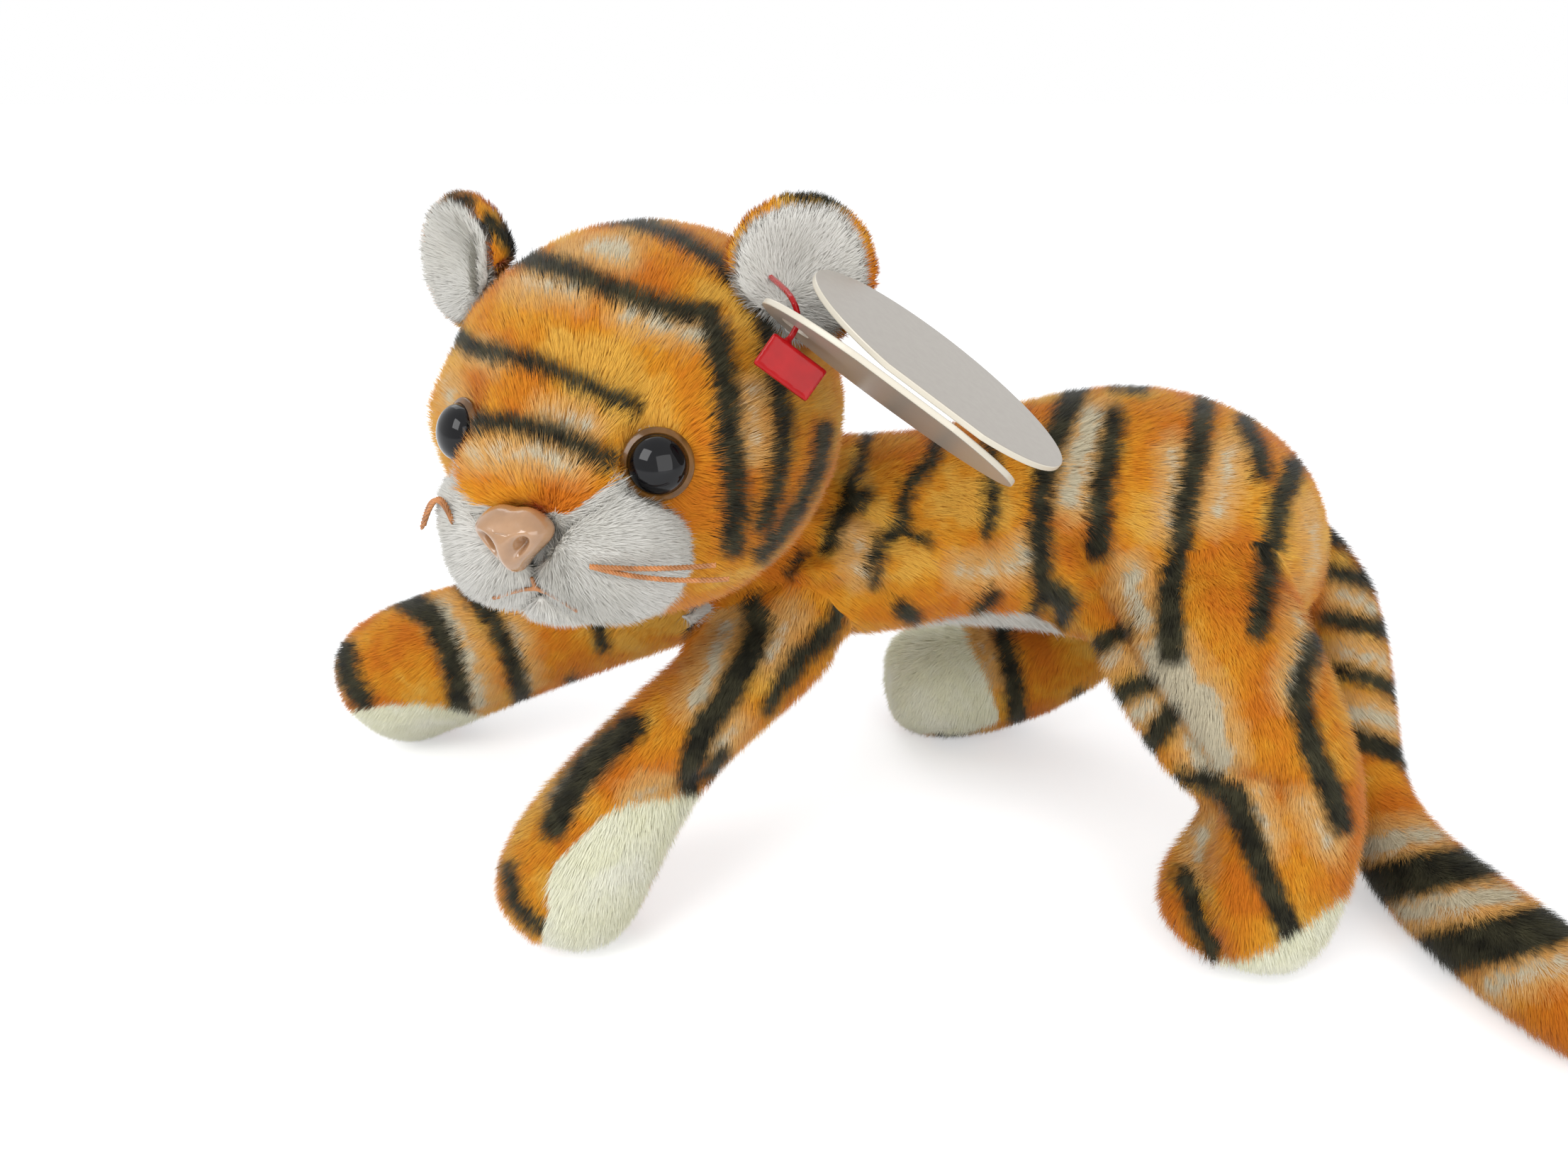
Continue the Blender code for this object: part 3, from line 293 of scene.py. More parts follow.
SIDE_PALE = (
    (36, ((1528, 590), (1512, 640), (1500, 700))), (60, ((1640, 920), (1690, 990), (1710, 1050))),
    (30, ((1545, 925), (1575, 915))), (30, ((1590, 1000), (1625, 985))),
    (20, ((1838, 720), (1844, 800), (1822, 870))), (30, ((1590, 800), (1620, 870))),
    (22, ((1196, 755), (1205, 800))), (26, ((1345, 800), (1420, 790), (1440, 770))),
    (20, ((1640, 640), (1636, 740))), (24, ((1720, 640), (1700, 720))),
    (28, ((1830, 900), (1812, 960))), (20, ((1840, 1120), (1870, 1180))),
    (24, ((1704, 1150), (1696, 1210))), (22, ((1770, 1110), (1790, 1170))),
)
NEAR_ARM_STRIPES = (
    (28, ((1067, 840), (1078, 874), (1062, 918), (1029, 973), (995, 1018), (979, 1062),
          (973, 1095))),
    (24, ((1216, 824), (1189, 857), (1161, 885), (1128, 918), (1106, 951))),
    (16, ((979, 874), (962, 892))), (30, ((905, 1018), (868, 1050), (832, 1088), (806, 1126),
                                         (792, 1160))),
    (20, ((730, 1217), (735, 1261), (758, 1289), (776, 1292))), (18, ((1106, 950), (1084, 985))),
    (20, ((1022, 1050), (1000, 1078))),
)
NEAR_ARM_PALE = ((26, ((1036, 870), (1016, 930), (985, 985))), (28, ((850, 1040), (800, 1110))),
                 (20, ((1120, 860), (1085, 920))), (20, ((1040, 1010), (1015, 1040))),
                 (18, ((940, 1095), (900, 1110))))
FAR_ARM_STRIPES = (
    (28, ((498, 918), (503, 951), (520, 979))),
    (28, ((575, 846), (619, 868), (641, 907), (652, 951), (655, 990))),
    (24, ((664, 824), (708, 874), (724, 907), (735, 940), (741, 975))),
    (18, ((852, 868), (857, 901))), (16, ((813, 951), (824, 962))),
    (18, ((530, 824), (552, 851))),
)
FAR_ARM_PALE = ((30, ((628, 850), (662, 905), (684, 985))), (18, ((735, 880), (752, 960))),
                (20, ((482, 900), (478, 960))))
FAR_THIGH_STRIPES = ((24, ((1422, 890), (1432, 940), (1438, 1000))),
                     (20, ((1526, 973), (1537, 995))),
                     (16, ((1330, 1030), (1416, 1038), (1480, 1040), (1540, 1017))))
FAR_THIGH_PALE = ((16, ((1392, 905), (1402, 950))),)
TAIL_STRIPES = (
    (17, ((1865, 752), (1900, 765), (1940, 795))), (20, ((1870, 795), (1924, 812), (1962, 835))),
    (22, ((1870, 862), (1924, 873), (1975, 890))), (19, ((1880, 938), (1930, 950), (1985, 980))),
    (26, ((1890, 1028), (1935, 1045), (1980, 1064), (2000, 1095))),
    (42, ((1895, 1245), (1980, 1233), (2046, 1222), (2110, 1205))),
    (48, ((1990, 1340), (2068, 1327), (2134, 1316), (2200, 1295))),
)
TAIL_PALE = ((26, ((1890, 830), (1960, 860))), (26, ((1895, 910), (1970, 930))),
             (32, ((1900, 1000), (1980, 1010))), (34, ((1930, 1190), (2040, 1170))),
             (36, ((1960, 1280), (2120, 1260))), (30, ((2100, 1380), (2200, 1350))))
# Outlines in the same frame of the white below the flank and of the cream soles that show
BELLY_OUTLINE = ((1189, 908), (1253, 884), (1285, 873), (1330, 863), (1381, 856), (1426, 856),
                 (1471, 870), (1504, 893), (1510, 940), (1189, 940))
SOLE_OUTLINES = {
    "front_left_leg": ((767, 1325), (779, 1274), (777, 1243), (789, 1207), (820, 1176), (856, 1140),
                       (877, 1127), (913, 1117), (990, 1106), (990, 1181), (960, 1240), (913, 1300),
                       (831, 1360), (770, 1350)),
    "front_right_leg": ((470, 1004), (517, 994), (553, 986), (594, 983), (640, 990), (671, 997),
                        (717, 1000), (748, 1006), (748, 1058), (470, 1058)),
    "hind_left_leg": ((1655, 1327), (1703, 1344), (1754, 1341), (1786, 1327), (1825, 1300),
                      (1857, 1276), (1890, 1250), (1910, 1300), (1880, 1380), (1800, 1400),
                      (1655, 1400)),
    "hind_right_leg": ((1200, 960), (1215, 897), (1272, 870), (1362, 866), (1375, 907),
                       (1394, 946), (1412, 1000), (1407, 1012), (1362, 1026), (1324, 1028),
                       (1260, 1030), (1220, 1010)),
}
EDGE_SOFTNESS = 20.0
PALE_SOFTNESS = 34.0
PANEL_SOFTNESS = 8.0
PRINT_SPREAD = 1.30


def in_photo(points):
    """Where points of the toy lie in the photograph's frame, in its pixels, and how far away."""
    away = points - np.array(CAMERA_PLACE)
    depth = away[:, 1] * math.cos(CAMERA_DOWN) - away[:, 2] * math.sin(CAMERA_DOWN)
    up = away[:, 1] * math.sin(CAMERA_DOWN) + away[:, 2] * math.cos(CAMERA_DOWN)
    right = PHOTO_SIZE[0] / 2 + FOCAL_PIXELS * away[:, 0] / depth
    down = PHOTO_SIZE[1] / 2 - FOCAL_PIXELS * up / depth
    return np.stack([right, down], 1), depth


def gap_to(spots, line):
    """How far each spot of the photograph's frame lies from a line of points."""
    nearest = np.full(len(spots), np.inf)
    for start, end in zip(line, line[1:]):
        run = end - start
        along = np.clip((spots - start) @ run / (run @ run), 0.0, 1.0)
        gap = np.linalg.norm(spots - start - along[:, None] * run, axis=1)
        nearest = np.minimum(nearest, gap)
    return nearest


def chalked(spots, lines, softness):
    """How strongly each spot of the photograph's frame is covered by any of the lines."""
    cover = np.zeros(len(spots))
    for width, points in lines:
        nearest = gap_to(spots, np.array(points, float))
        edge = (width * PRINT_SPREAD / 2 - nearest) / softness
        cover = np.maximum(cover, np.clip(0.5 + edge / 2, 0.0, 1.0))
    return cover


def enclosed(spots, outline, softness):
    """How far each spot of the photograph's frame lies inside an outline: half on the line."""
    within = np.zeros(len(spots), bool)
    line = np.array((*outline, outline[0]), float)
    for start, end in zip(line, line[1:]):
        run = end - start
        level = (start[1] > spots[:, 1]) != (end[1] > spots[:, 1])
        reach = start[0] + (spots[:, 1] - start[1]) * run[0] / (run[1] or 1.0)
        within ^= level & (spots[:, 0] < reach)
    nearest = gap_to(spots, line)
    return np.clip(0.5 + np.where(within, nearest, -nearest) / softness, 0.0, 1.0)


def skin_round(name, members, voxel, closing, sink, rounds):
    """One closed skin: the outer surface of its solids, taken at a fine mesh, with the narrow
    grooves between sewn pieces closed up, and drawn in so that its pile ends where they do."""
    joined = bmesh.new()
    for member in members:
        joined.from_mesh(nodes[member].data)
    bmesh.ops.remove_doubles(joined, verts=joined.verts, dist=0.000001)
    guide = linked(name + "_guide", mesh_of(name + "_rough", joined))
    for strength in (closing, -closing - sink):
        remesh = guide.modifiers.new("weave", "REMESH")
        remesh.mode = "VOXEL"
        remesh.voxel_size = voxel
        swell = guide.modifiers.new("swell", "DISPLACE")
        swell.strength = strength
        swell.mid_level = 0.0
    again = guide.modifiers.new("weave", "REMESH")
    again.mode = "VOXEL"
    again.voxel_size = voxel
    relax = guide.modifiers.new("relax", "SMOOTH")
    relax.factor = 0.5
    relax.iterations = rounds
    graph = bpy.context.evaluated_depsgraph_get()
    mesh = bpy.data.meshes.new_from_object(guide.evaluated_get(graph))
    bpy.data.objects.remove(guide, do_unlink=True)
    outer = bmesh.new()
    outer.from_mesh(mesh)
    outer.verts.ensure_lookup_table()
    left = set(outer.verts)
    shells = []
    while left:
        shell, edge = set(), [left.pop()]
        while edge:
            vertex = edge.pop()
            shell.add(vertex)
            for link in vertex.link_edges:
                other = link.other_vert(vertex)
                if other in left:
                    left.discard(other)
                    edge.append(other)
        shells.append(shell)
    biggest = max(shells, key=len)
    spare = [vertex for shell in shells if shell is not biggest for vertex in shell]
    bmesh.ops.delete(outer, geom=spare, context="VERTS")
    outer.to_mesh(mesh)
    outer.free()
    mesh.name = name
    return mesh


def rows_of(items, name, width, kind=np.float32):
    """One property of all the items of a mesh, a row for each."""
    values = np.empty(len(items) * width, kind)
    items.foreach_get(name, values)
    return values.reshape(-1, width)


def places_of(mesh):
    """The places and normals of a mesh's vertices."""
    return (rows_of(mesh.vertices, "co", 3).astype(float),
            rows_of(mesh.vertex_normals, "vector", 3).astype(float))


def move_to(mesh, places):
    """Moves the vertices of a mesh to new places."""
    mesh.vertices.foreach_set("co", places.astype(np.float32).ravel())
    mesh.update()


def toward_camera(places, normals):
    """How squarely each place of a skin faces the camera: 1 in full, below 0 on the far side."""
    toward = np.array(CAMERA_PLACE) - places
    toward /= np.linalg.norm(toward, axis=1)[:, None]
    return (normals * toward).sum(1)


def press(mesh, lines, depth, reach):
    """Draws a skin in along lines of the photograph's frame, on the side that faces the camera."""
    places, normals = places_of(mesh)
    spots, away = in_photo(places)
    faces_camera = np.clip(toward_camera(places, normals) * 3.0, 0.0, 1.0)
    drawn = np.zeros(len(places))
    for width, points in lines:
        gap = gap_to(spots, np.array(points, float)) * away / FOCAL_PIXELS
        drawn = np.maximum(drawn, width * np.exp(-(gap / reach) ** 2))
    move_to(mesh, places - normals * (drawn * depth * faces_camera)[:, None])


def wear(mesh, name, values):
    """Keeps one number a vertex on the mesh."""
    kept = mesh.attributes.get(name) or mesh.attributes.new(name, "FLOAT", "POINT")
    kept.data.foreach_set("value", np.asarray(values, np.float32))


def unfold(piece):
    """Lays the skin out flat, as the cloth's own map."""
    piece.data.uv_layers.new(name="OFBake")
    bpy.ops.object.select_all(action="DESELECT")
    piece.select_set(True)
    bpy.context.view_layer.objects.active = piece
    bpy.ops.object.mode_set(mode="EDIT")
    bpy.ops.mesh.select_all(action="SELECT")
    bpy.ops.uv.smart_project(angle_limit=1.15, island_margin=0.004, scale_to_bounds=True)
    bpy.ops.object.mode_set(mode="OBJECT")


FIBRE_WIDTH = 0.00017
OFF_GROUND = 0.0004


def with_pile(piece, per_mm2, length, lean, comb, seed, bare=()):
    """Sets fibres all over a skin: each a thin blade rooted in the cloth that leans with the nap.
    Round the bare places, each a middle and a radius, it is brushed aside."""
    skin = piece.data
    places, normals = places_of(skin)
    skin.calc_loop_triangles()
    corners = rows_of(skin.loop_triangles, "loops", 3, np.int32)
    vertices = rows_of(skin.loop_triangles, "vertices", 3, np.int32)
    flat = rows_of(skin.uv_layers["OFBake"].data, "uv", 2)
    worn = {name: np.zeros(len(places), np.float32) for name in ("stripe", "pale", "panel")}
    for name in worn:
        if name in skin.attributes:
            worn[name] = rows_of(skin.attributes[name].data, "value", 1)[:, 0]
    a, b, c = (places[vertices[:, i]] for i in range(3))
    area = np.linalg.norm(np.cross(b - a, c - a), axis=1) / 2
    chance = np.random.default_rng(seed)
    fibres = int(area.sum() * 1e6 * per_mm2)
    chosen = chance.choice(len(area), fibres, p=area / area.sum())
    u, v = chance.random(fibres), chance.random(fibres)
    over = u + v > 1.0
    u[over], v[over] = 1.0 - u[over], 1.0 - v[over]
    share = np.stack([1.0 - u - v, u, v], 1)[:, :, None]
    root = (places[vertices[chosen]] * share).sum(1)
    kept = np.ones(fibres, bool)
    for middle, radius in bare:
        kept &= np.linalg.norm(root - np.array(middle), axis=1) > radius
    chosen, share, root, fibres = chosen[kept], share[kept], root[kept], int(kept.sum())
    up = (normals[vertices[chosen]] * share).sum(1)
    up /= np.linalg.norm(up, axis=1)[:, None]
    nap = comb(root)
    nap /= np.linalg.norm(nap, axis=1)[:, None]
    for middle, radius in bare:
        aside = root - np.array(middle)
        gap = np.linalg.norm(aside, axis=1)[:, None]
        nap += aside / gap * 3.0 * np.clip((1.6 - gap / radius) * 2.0, 0.0, 1.0)
    nap += chance.normal(0.0, 0.13, (fibres, 3))
    nap -= up * (nap * up).sum(1)[:, None]
    nap /= np.linalg.norm(nap, axis=1)[:, None] + 1e-9
    tilt = lean + chance.normal(0.0, 0.13, fibres)
    run = up * np.cos(tilt)[:, None] + nap * np.sin(tilt)[:, None]
    across = np.cross(run, up + chance.normal(0.0, 0.22, (fibres, 3)))
    across /= np.linalg.norm(across, axis=1)[:, None] + 1e-9
    tall = length * chance.uniform(0.70, 1.12, fibres)
    blade = np.stack([root - across * FIBRE_WIDTH / 2, root + across * FIBRE_WIDTH / 2,
                      root + run * tall[:, None]], 1).reshape(-1, 3)
    blade[:, 2] = np.maximum(blade[:, 2], OFF_GROUND)
    lit = up * 0.90 + run * 0.20 + chance.normal(0.0, 0.12, (fibres, 3))
    lit = np.repeat(lit / np.linalg.norm(lit, axis=1)[:, None], 3, axis=0)

    skin_corners = rows_of(skin.loops, "vertex_index", 1, np.int32)[:, 0]
    starts = rows_of(skin.polygons, "loop_start", 1, np.int32)[:, 0]
    grown = bpy.data.meshes.new(piece.name)
    grown.vertices.add(len(places) + len(blade))
    grown.loops.add(len(skin_corners) + len(blade))
    grown.polygons.add(len(starts) + fibres)
    grown.vertices.foreach_set("co", np.concatenate([places, blade]).astype(np.float32).ravel())
    grown.loops.foreach_set("vertex_index", np.concatenate(
        [skin_corners, np.arange(len(blade), dtype=np.int32) + len(places)]))
    grown.polygons.foreach_set("loop_start", np.concatenate(
        [starts, np.arange(fibres, dtype=np.int32) * 3 + len(skin_corners)]))
    grown.update(calc_edges=True)
    grown.validate()
    layer = grown.uv_layers.new(name="OFBake")
    root_flat = (flat[corners[chosen]] * share).sum(1)
    layer.data.foreach_set("uv", np.concatenate(
        [flat, np.repeat(root_flat, 3, axis=0)]).astype(np.float32).ravel())
    for name, values in worn.items():
        rooted = (values[vertices[chosen]] * share[:, :, 0]).sum(1)
        wear(grown, name, np.concatenate([values, np.repeat(rooted, 3)]))
    wear(grown, "tip", np.concatenate([np.full(len(places), 0.35),
                                       np.tile([0.0, 0.0, 1.0], fibres)]))
    wear(grown, "strand", np.concatenate([np.full(len(places), 0.5),
                                          np.repeat(chance.random(fibres), 3)]))
    for material in skin.materials:
        grown.materials.append(material)
    grown.shade_smooth()
    grown.normals_split_custom_set_from_vertices(
        np.concatenate([normals, lit]).astype(np.float32))
    piece.data = grown
    bpy.data.meshes.remove(skin)


def dressed(name, mesh, cloth, stripes=(), pale=(), panel=None):
    """An object of one skin, with its print worn on it and its map laid out. A pale patch fades
    where the skin turns edge-on to the camera, and a plain panel is worn on the near side."""
    mesh.name = name
    mesh.materials.clear()
    mesh.materials.append(cloth)
    piece = linked(name, mesh)
    places, normals = places_of(mesh)
    spots = in_photo(places)[0]
    facing = toward_camera(places, normals)
    wear(mesh, "stripe", chalked(spots, stripes, EDGE_SOFTNESS))
    wear(mesh, "pale", chalked(spots, pale, PALE_SOFTNESS)
         * np.clip(np.abs(facing) * 3.0 - 0.3, 0.0, 1.0))
    if panel is not None:
        wear(mesh, "panel", enclosed(spots, panel, PANEL_SOFTNESS)
             * np.clip(facing * 4.0 + 1.0, 0.0, 1.0))
    unfold(piece)
    return piece


def stands_for(piece, body, *solids):
    """Lets a piece move with its body, in the place of the solids that it was made round."""
    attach(piece, body)
    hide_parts(*solids)


# The skin of the whole bag: its mesh size, the grooves that it closes, how far it is drawn in, and
# the rounds of smoothing
COAT_WEAVE = (0.0012, 0.0022, 0.0016, 6)
LIMBS = ("front_left_leg", "front_right_leg", "hind_left_leg", "hind_right_leg")
regions = {"body": ("back_panel",), "belly": ("belly_panel",), "bib": ("bib",),
           "neck": ("neck_stuffing",), "tail": ("tail_cover",)}
for limb in LIMBS:
    regions[limb] = (limb + "_cover",)
    regions[limb.replace("leg", "sole")] = (limb.replace("leg", "sole"),)
members = [name for names in regions.values() for name in names] + ["body_filling", "tail_filling"]
members += [limb + "_filling" for limb in LIMBS]
coat = skin_round("coat", members, *COAT_WEAVE)

# Folds, creases and the toe groove, pressed along their lines
COAT_FOLDS = (
    (1.5, ((1694, 1145), (1686, 1200), (1688, 1270), (1706, 1335))),
    (1.2, ((1650, 1088), (1690, 1083), (1740, 1092), (1800, 1110))),
    (1.2, ((1140, 700), (1180, 716), (1230, 730), (1262, 752))),
    (0.8, ((1100, 790), (1150, 775), (1200, 762), (1250, 752))),
    (0.8, ((1210, 640), (1240, 690), (1275, 720))),
    (0.8, ((1330, 700), (1365, 745), (1375, 790))),
    (1.5, ((1512, 772), (1552, 852), (1600, 950), (1650, 1020), (1692, 1080))),
    (0.9, ((1452, 800), (1468, 860), (1480, 880))),
    (0.7, ((1010, 1100), (960, 1105), (905, 1125))),
    (1.0, ((1090, 818), (1160, 838), (1225, 836))),
)
press(coat, COAT_FOLDS, 0.0026, 0.0034)

# Which sewn piece each face of the coat belongs to: the nearest one
faces = bmesh.new()
faces.from_mesh(coat)
trees = {}
for region, names in regions.items():
    solid = bmesh.new()
    for name in names:
        solid.from_mesh(nodes[name].data)
    trees[region] = BVHTree.FromBMesh(solid)
    solid.free()
belongs = faces.faces.layers.int.new("belongs")
order = list(regions)
for face in faces.faces:
    middle = face.calc_center_median()
    face[belongs] = min(range(len(order)),
                        key=lambda i: trees[order[i]].find_nearest(middle)[3])
for _ in range(3):
    voted = {}
    for face in faces.faces:
        near = [other[belongs] for edge in face.edges for other in edge.link_faces if other != face]
        for region in set(near):
            if near.count(region) >= 3 and region != face[belongs]:
                voted[face] = region
    for face, region in voted.items():
        face[belongs] = region
for _ in range(8):
    seam = {}
    for vertex in faces.verts:
        if len({face[belongs] for face in vertex.link_faces}) > 1:
            near = [edge.other_vert(vertex).co for edge in vertex.link_edges
                    if len({face[belongs] for face in edge.link_faces}) > 1]
            if len(near) > 1:
                seam[vertex] = vertex.co.lerp(sum(near, Vector()) / len(near), 0.5)
    for vertex, place in seam.items():
        vertex.co = place

coat_print = {"body": (SIDE_STRIPES, SIDE_PALE), "neck": (SIDE_STRIPES, SIDE_PALE),
              "tail": (TAIL_STRIPES, TAIL_PALE),
              "front_left_leg": (NEAR_ARM_STRIPES, NEAR_ARM_PALE),
              "front_right_leg": (FAR_ARM_STRIPES, FAR_ARM_PALE),
              "hind_left_leg": (SIDE_STRIPES, SIDE_PALE),
              "hind_right_leg": (FAR_THIGH_STRIPES, FAR_THIGH_PALE)}
coat_pieces = {}
for index, region in enumerate(order):
    cloth_piece = faces.copy()
    worn = cloth_piece.faces.layers.int["belongs"]
    others = [face for face in cloth_piece.faces if face[worn] != index]
    bmesh.ops.delete(cloth_piece, geom=others, context="FACES")
    cloth_piece.faces.layers.int.remove(worn)
    if not cloth_piece.faces:
        cloth_piece.free()
        continue
    mesh = mesh_of(region, cloth_piece)
    if region.endswith("sole"):
        cloth = cream_plush
    elif region in ("belly", "bib"):
        cloth = white_plush
    elif region in SOLE_OUTLINES:
        cloth = striped_limb_plush
    else:
        cloth = striped_plush
    stripes, pale = coat_print.get(region, ((), ()))
    panel = BELLY_OUTLINE if region == "body" else SOLE_OUTLINES.get(region)
    coat_pieces[region] = dressed(region + "_plush", mesh, cloth, stripes, pale, panel)
faces.free()

# The pile and its nap, and the bodies that some of the pieces ride on
PILE_PER_MM2 = 15.0
PILE_LENGTH = 0.0032
PILE_LEAN = 1.00
SHORT_PILE = 0.72
SHORT_LEAN = 0.95
TRUNK_NAP = np.array((0.85, 0.0, -0.45))
RUMP_NAP = np.array((-0.10, 0.62, 0.20))
RUMP_START = 0.045
RUMP_RUN = 0.025
TAIL_NAP = Vector((0.45, -0.60, -0.65))
joint_place = {joint["child"]: Vector(joint["pos_m"]) for joint in frame["joints"]}


def straight(way):
    """The nap of a piece whose pile all lies one way."""
    return lambda roots: np.tile(np.array(way), (len(roots), 1))


def along_trunk(roots):
    """The nap of the trunk: back along it, and toward the tail's root over the rump."""
    rump = np.clip((roots[:, 0] - RUMP_START) / RUMP_RUN, 0.0, 1.0)[:, None]
    return TRUNK_NAP + rump * RUMP_NAP


def down_limb(limb):
    """The way from a leg's root to the middle of its foot."""
    low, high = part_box(limb + "_cover")
    foot = (low + high) / 2
    foot.z = low.z
    return (foot - joint_place[limb]).normalized()


for index, (region, piece) in enumerate(coat_pieces.items()):
    limb = region.replace("sole", "leg")
    nap = straight(Vector(TRUNK_NAP))
    if limb in LIMBS:
        nap = straight(down_limb(limb))
    elif region == "tail":
        nap = straight(TAIL_NAP)
    elif region == "body":
        nap = along_trunk
    short = region.endswith("sole") or region in ("belly", "bib")
    with_pile(piece, PILE_PER_MM2, PILE_LENGTH * (SHORT_PILE if short else 1.0),
              SHORT_LEAN if short else PILE_LEAN, nap, seed=index + 1)

stands_for(coat_pieces["body"], "trunk", "back_panel", "body_filling")
stands_for(coat_pieces["belly"], "trunk", "belly_panel")
stands_for(coat_pieces["bib"], "trunk", "bib")
stands_for(coat_pieces["neck"], "neck", "neck_stuffing")
for limb in LIMBS:
    sole = limb.replace("leg", "sole")
    root, way = joint_place[limb], down_limb(limb)
    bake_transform(coat_pieces[limb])
    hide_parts(limb + "_cover", limb + "_filling")
    stands_for(coat_pieces[sole], limb, sole)
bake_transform(coat_pieces["tail"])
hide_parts("tail_cover", "tail_filling")

# ---------------------------------------------------------------- head: cover, muzzle and ears
# The head is a striped cover stuffed firm with wadding; two white cheeks and a chin are sewn on
# at the front, and two ears with a white lining into the side seams. The pile is brushed back
# from the nose.
HEAD_STRIPES = (
    (22, ((838, 318), (874, 323), (918, 335), (962, 356), (1001, 381), (1025, 400))),
    (27, ((672, 358), (719, 373), (763, 385), (807, 400), (852, 420), (896, 437), (941, 449),
          (980, 455))),
    (30, ((988, 455), (1002, 485), (1010, 545), (1016, 600), (1021, 655), (1022, 710),
          (1020, 765))),
    (24, ((1054, 430), (1070, 475), (1080, 530), (1090, 590), (1088, 645), (1078, 690),
          (1062, 735))),
    (22, ((652, 487), (680, 506), (719, 517), (763, 529), (807, 550), (846, 570), (885, 586))),
    (25, ((672, 611), (708, 611), (747, 617), (785, 628), (818, 644), (848, 662))),
    (18, ((632, 440), (630, 475), (640, 500))),
    (16, ((905, 690), (918, 712), (926, 740))),
    (22, ((1150, 610), (1140, 660), (1110, 720), (1060, 780))),
)
HEAD_PALE = (
    (36, ((730, 345), (800, 352), (870, 366))), (26, ((675, 392), (740, 412), (810, 428))),
    (26, ((880, 458), (950, 476), (985, 486))), (24, ((676, 650), (740, 652), (800, 664))),
    (22, ((770, 600), (820, 612))), (18, ((660, 500), (700, 520))), (20, ((640, 545), (650, 580))),
    (18, ((1046, 560), (1048, 640))),
)
# Outline of the white of the muzzle
MUZZLE_OUTLINE = ((800, 726), (846, 690), (880, 668), (902, 690), (922, 735), (940, 785),
                  (951, 826), (925, 855), (860, 872), (790, 866), (728, 846), (688, 812),
                  (655, 768), (634, 722), (640, 690), (664, 652), (676, 676), (686, 716),
                  (735, 720))
HEAD_MIDDLE = Vector((-0.0400, -0.0083, 0.0953))
HEAD_LEFT = Vector((0.9299, -0.3663, 0.0349))
HEAD_BACK = Vector((0.3643, 0.9298, 0.0523))
HEAD_UP = Vector((-0.0516, -0.0359, 0.9980))
head_turn = Matrix((HEAD_LEFT, HEAD_BACK, HEAD_UP)).transposed()


def on_head(left, back, up):
    """A place on the toy from its distances from the head's middle."""
    return HEAD_MIDDLE + head_turn @ Vector((left, back, up))


EYE_LEFT = on_head(0.01625, -0.02835, 0.00403)
EYE_RIGHT = on_head(-0.01500, -0.02790, 0.00589)
NOSE_MIDDLE = on_head(0.0, -0.04095, -0.00360)
MOUTH_MIDDLE = on_head(0.0, -0.0387, -0.0127)
MUZZLE_START = 0.012
EYE_ROOM = 0.0046
NOSE_ROOM = 0.0046
MOUTH_ROOM = 0.0010


def brushed_from(middle):
    """The nap of a piece whose pile is brushed away from one place."""
    return lambda roots: roots - np.array(middle)


def puff(mesh, middle, height, reach):
    """Swells a skin round one place, or draws it in where the height is below zero."""
    places, normals = places_of(mesh)
    gap = np.linalg.norm(places - np.array(middle), axis=1)
    move_to(mesh, places + normals * (height * np.exp(-(gap / reach) ** 2))[:, None])


# The seam over the eye is pulled in, and the stuffing stands fuller beside the nose and eyes
HEAD_WEAVE = (0.0011, 0.0014, 0.0015, 6)
HEAD_SEAM = ((1.0, ((915, 620), (898, 575), (905, 540), (935, 500), (1000, 440))),)
FULLNESS = (((0.0075, -0.0345, 0.0065), 0.0018, 0.0050),
            ((0.0085, -0.0300, 0.0125), 0.0014, 0.0055),
            ((0.0235, -0.0190, 0.0050), 0.0020, 0.0060),
            ((0.0085, -0.0385, -0.0006), 0.0020, 0.0045),
            ((0.0120, -0.0355, 0.0020), 0.0014, 0.0040))
HEAD_PILE_LENGTH = 0.0030
face_bare = ((EYE_LEFT, EYE_ROOM), (EYE_RIGHT, EYE_ROOM), (NOSE_MIDDLE, NOSE_ROOM))
head_skin = skin_round("head_plush", ("head_cover", "head_stuffing"), *HEAD_WEAVE)
press(head_skin, HEAD_SEAM, 0.0013, 0.0026)
for sign in (1, -1):
    for (left, back, up), height, reach in FULLNESS:
        puff(head_skin, on_head(sign * left, back, up), height, reach)
head = dressed("head_plush", head_skin, striped_plush, HEAD_STRIPES, HEAD_PALE)
# The white of the muzzle, drawn on the left half and mirrored
places = places_of(head.data)[0] - np.array(HEAD_MIDDLE)
aside = np.minimum(places @ np.array(HEAD_LEFT), 0.0)
on_left = places - 2.0 * aside[:, None] * np.array(HEAD_LEFT) + np.array(HEAD_MIDDLE)
wear(head.data, "panel", enclosed(in_photo(on_left)[0], MUZZLE_OUTLINE, PANEL_SOFTNESS)
     * (places @ np.array(-HEAD_BACK) > MUZZLE_START))
with_pile(head, PILE_PER_MM2, HEAD_PILE_LENGTH, PILE_LEAN, brushed_from(NOSE_MIDDLE), seed=31,
          bare=face_bare)
stands_for(head, "head", "head_cover", "head_stuffing")

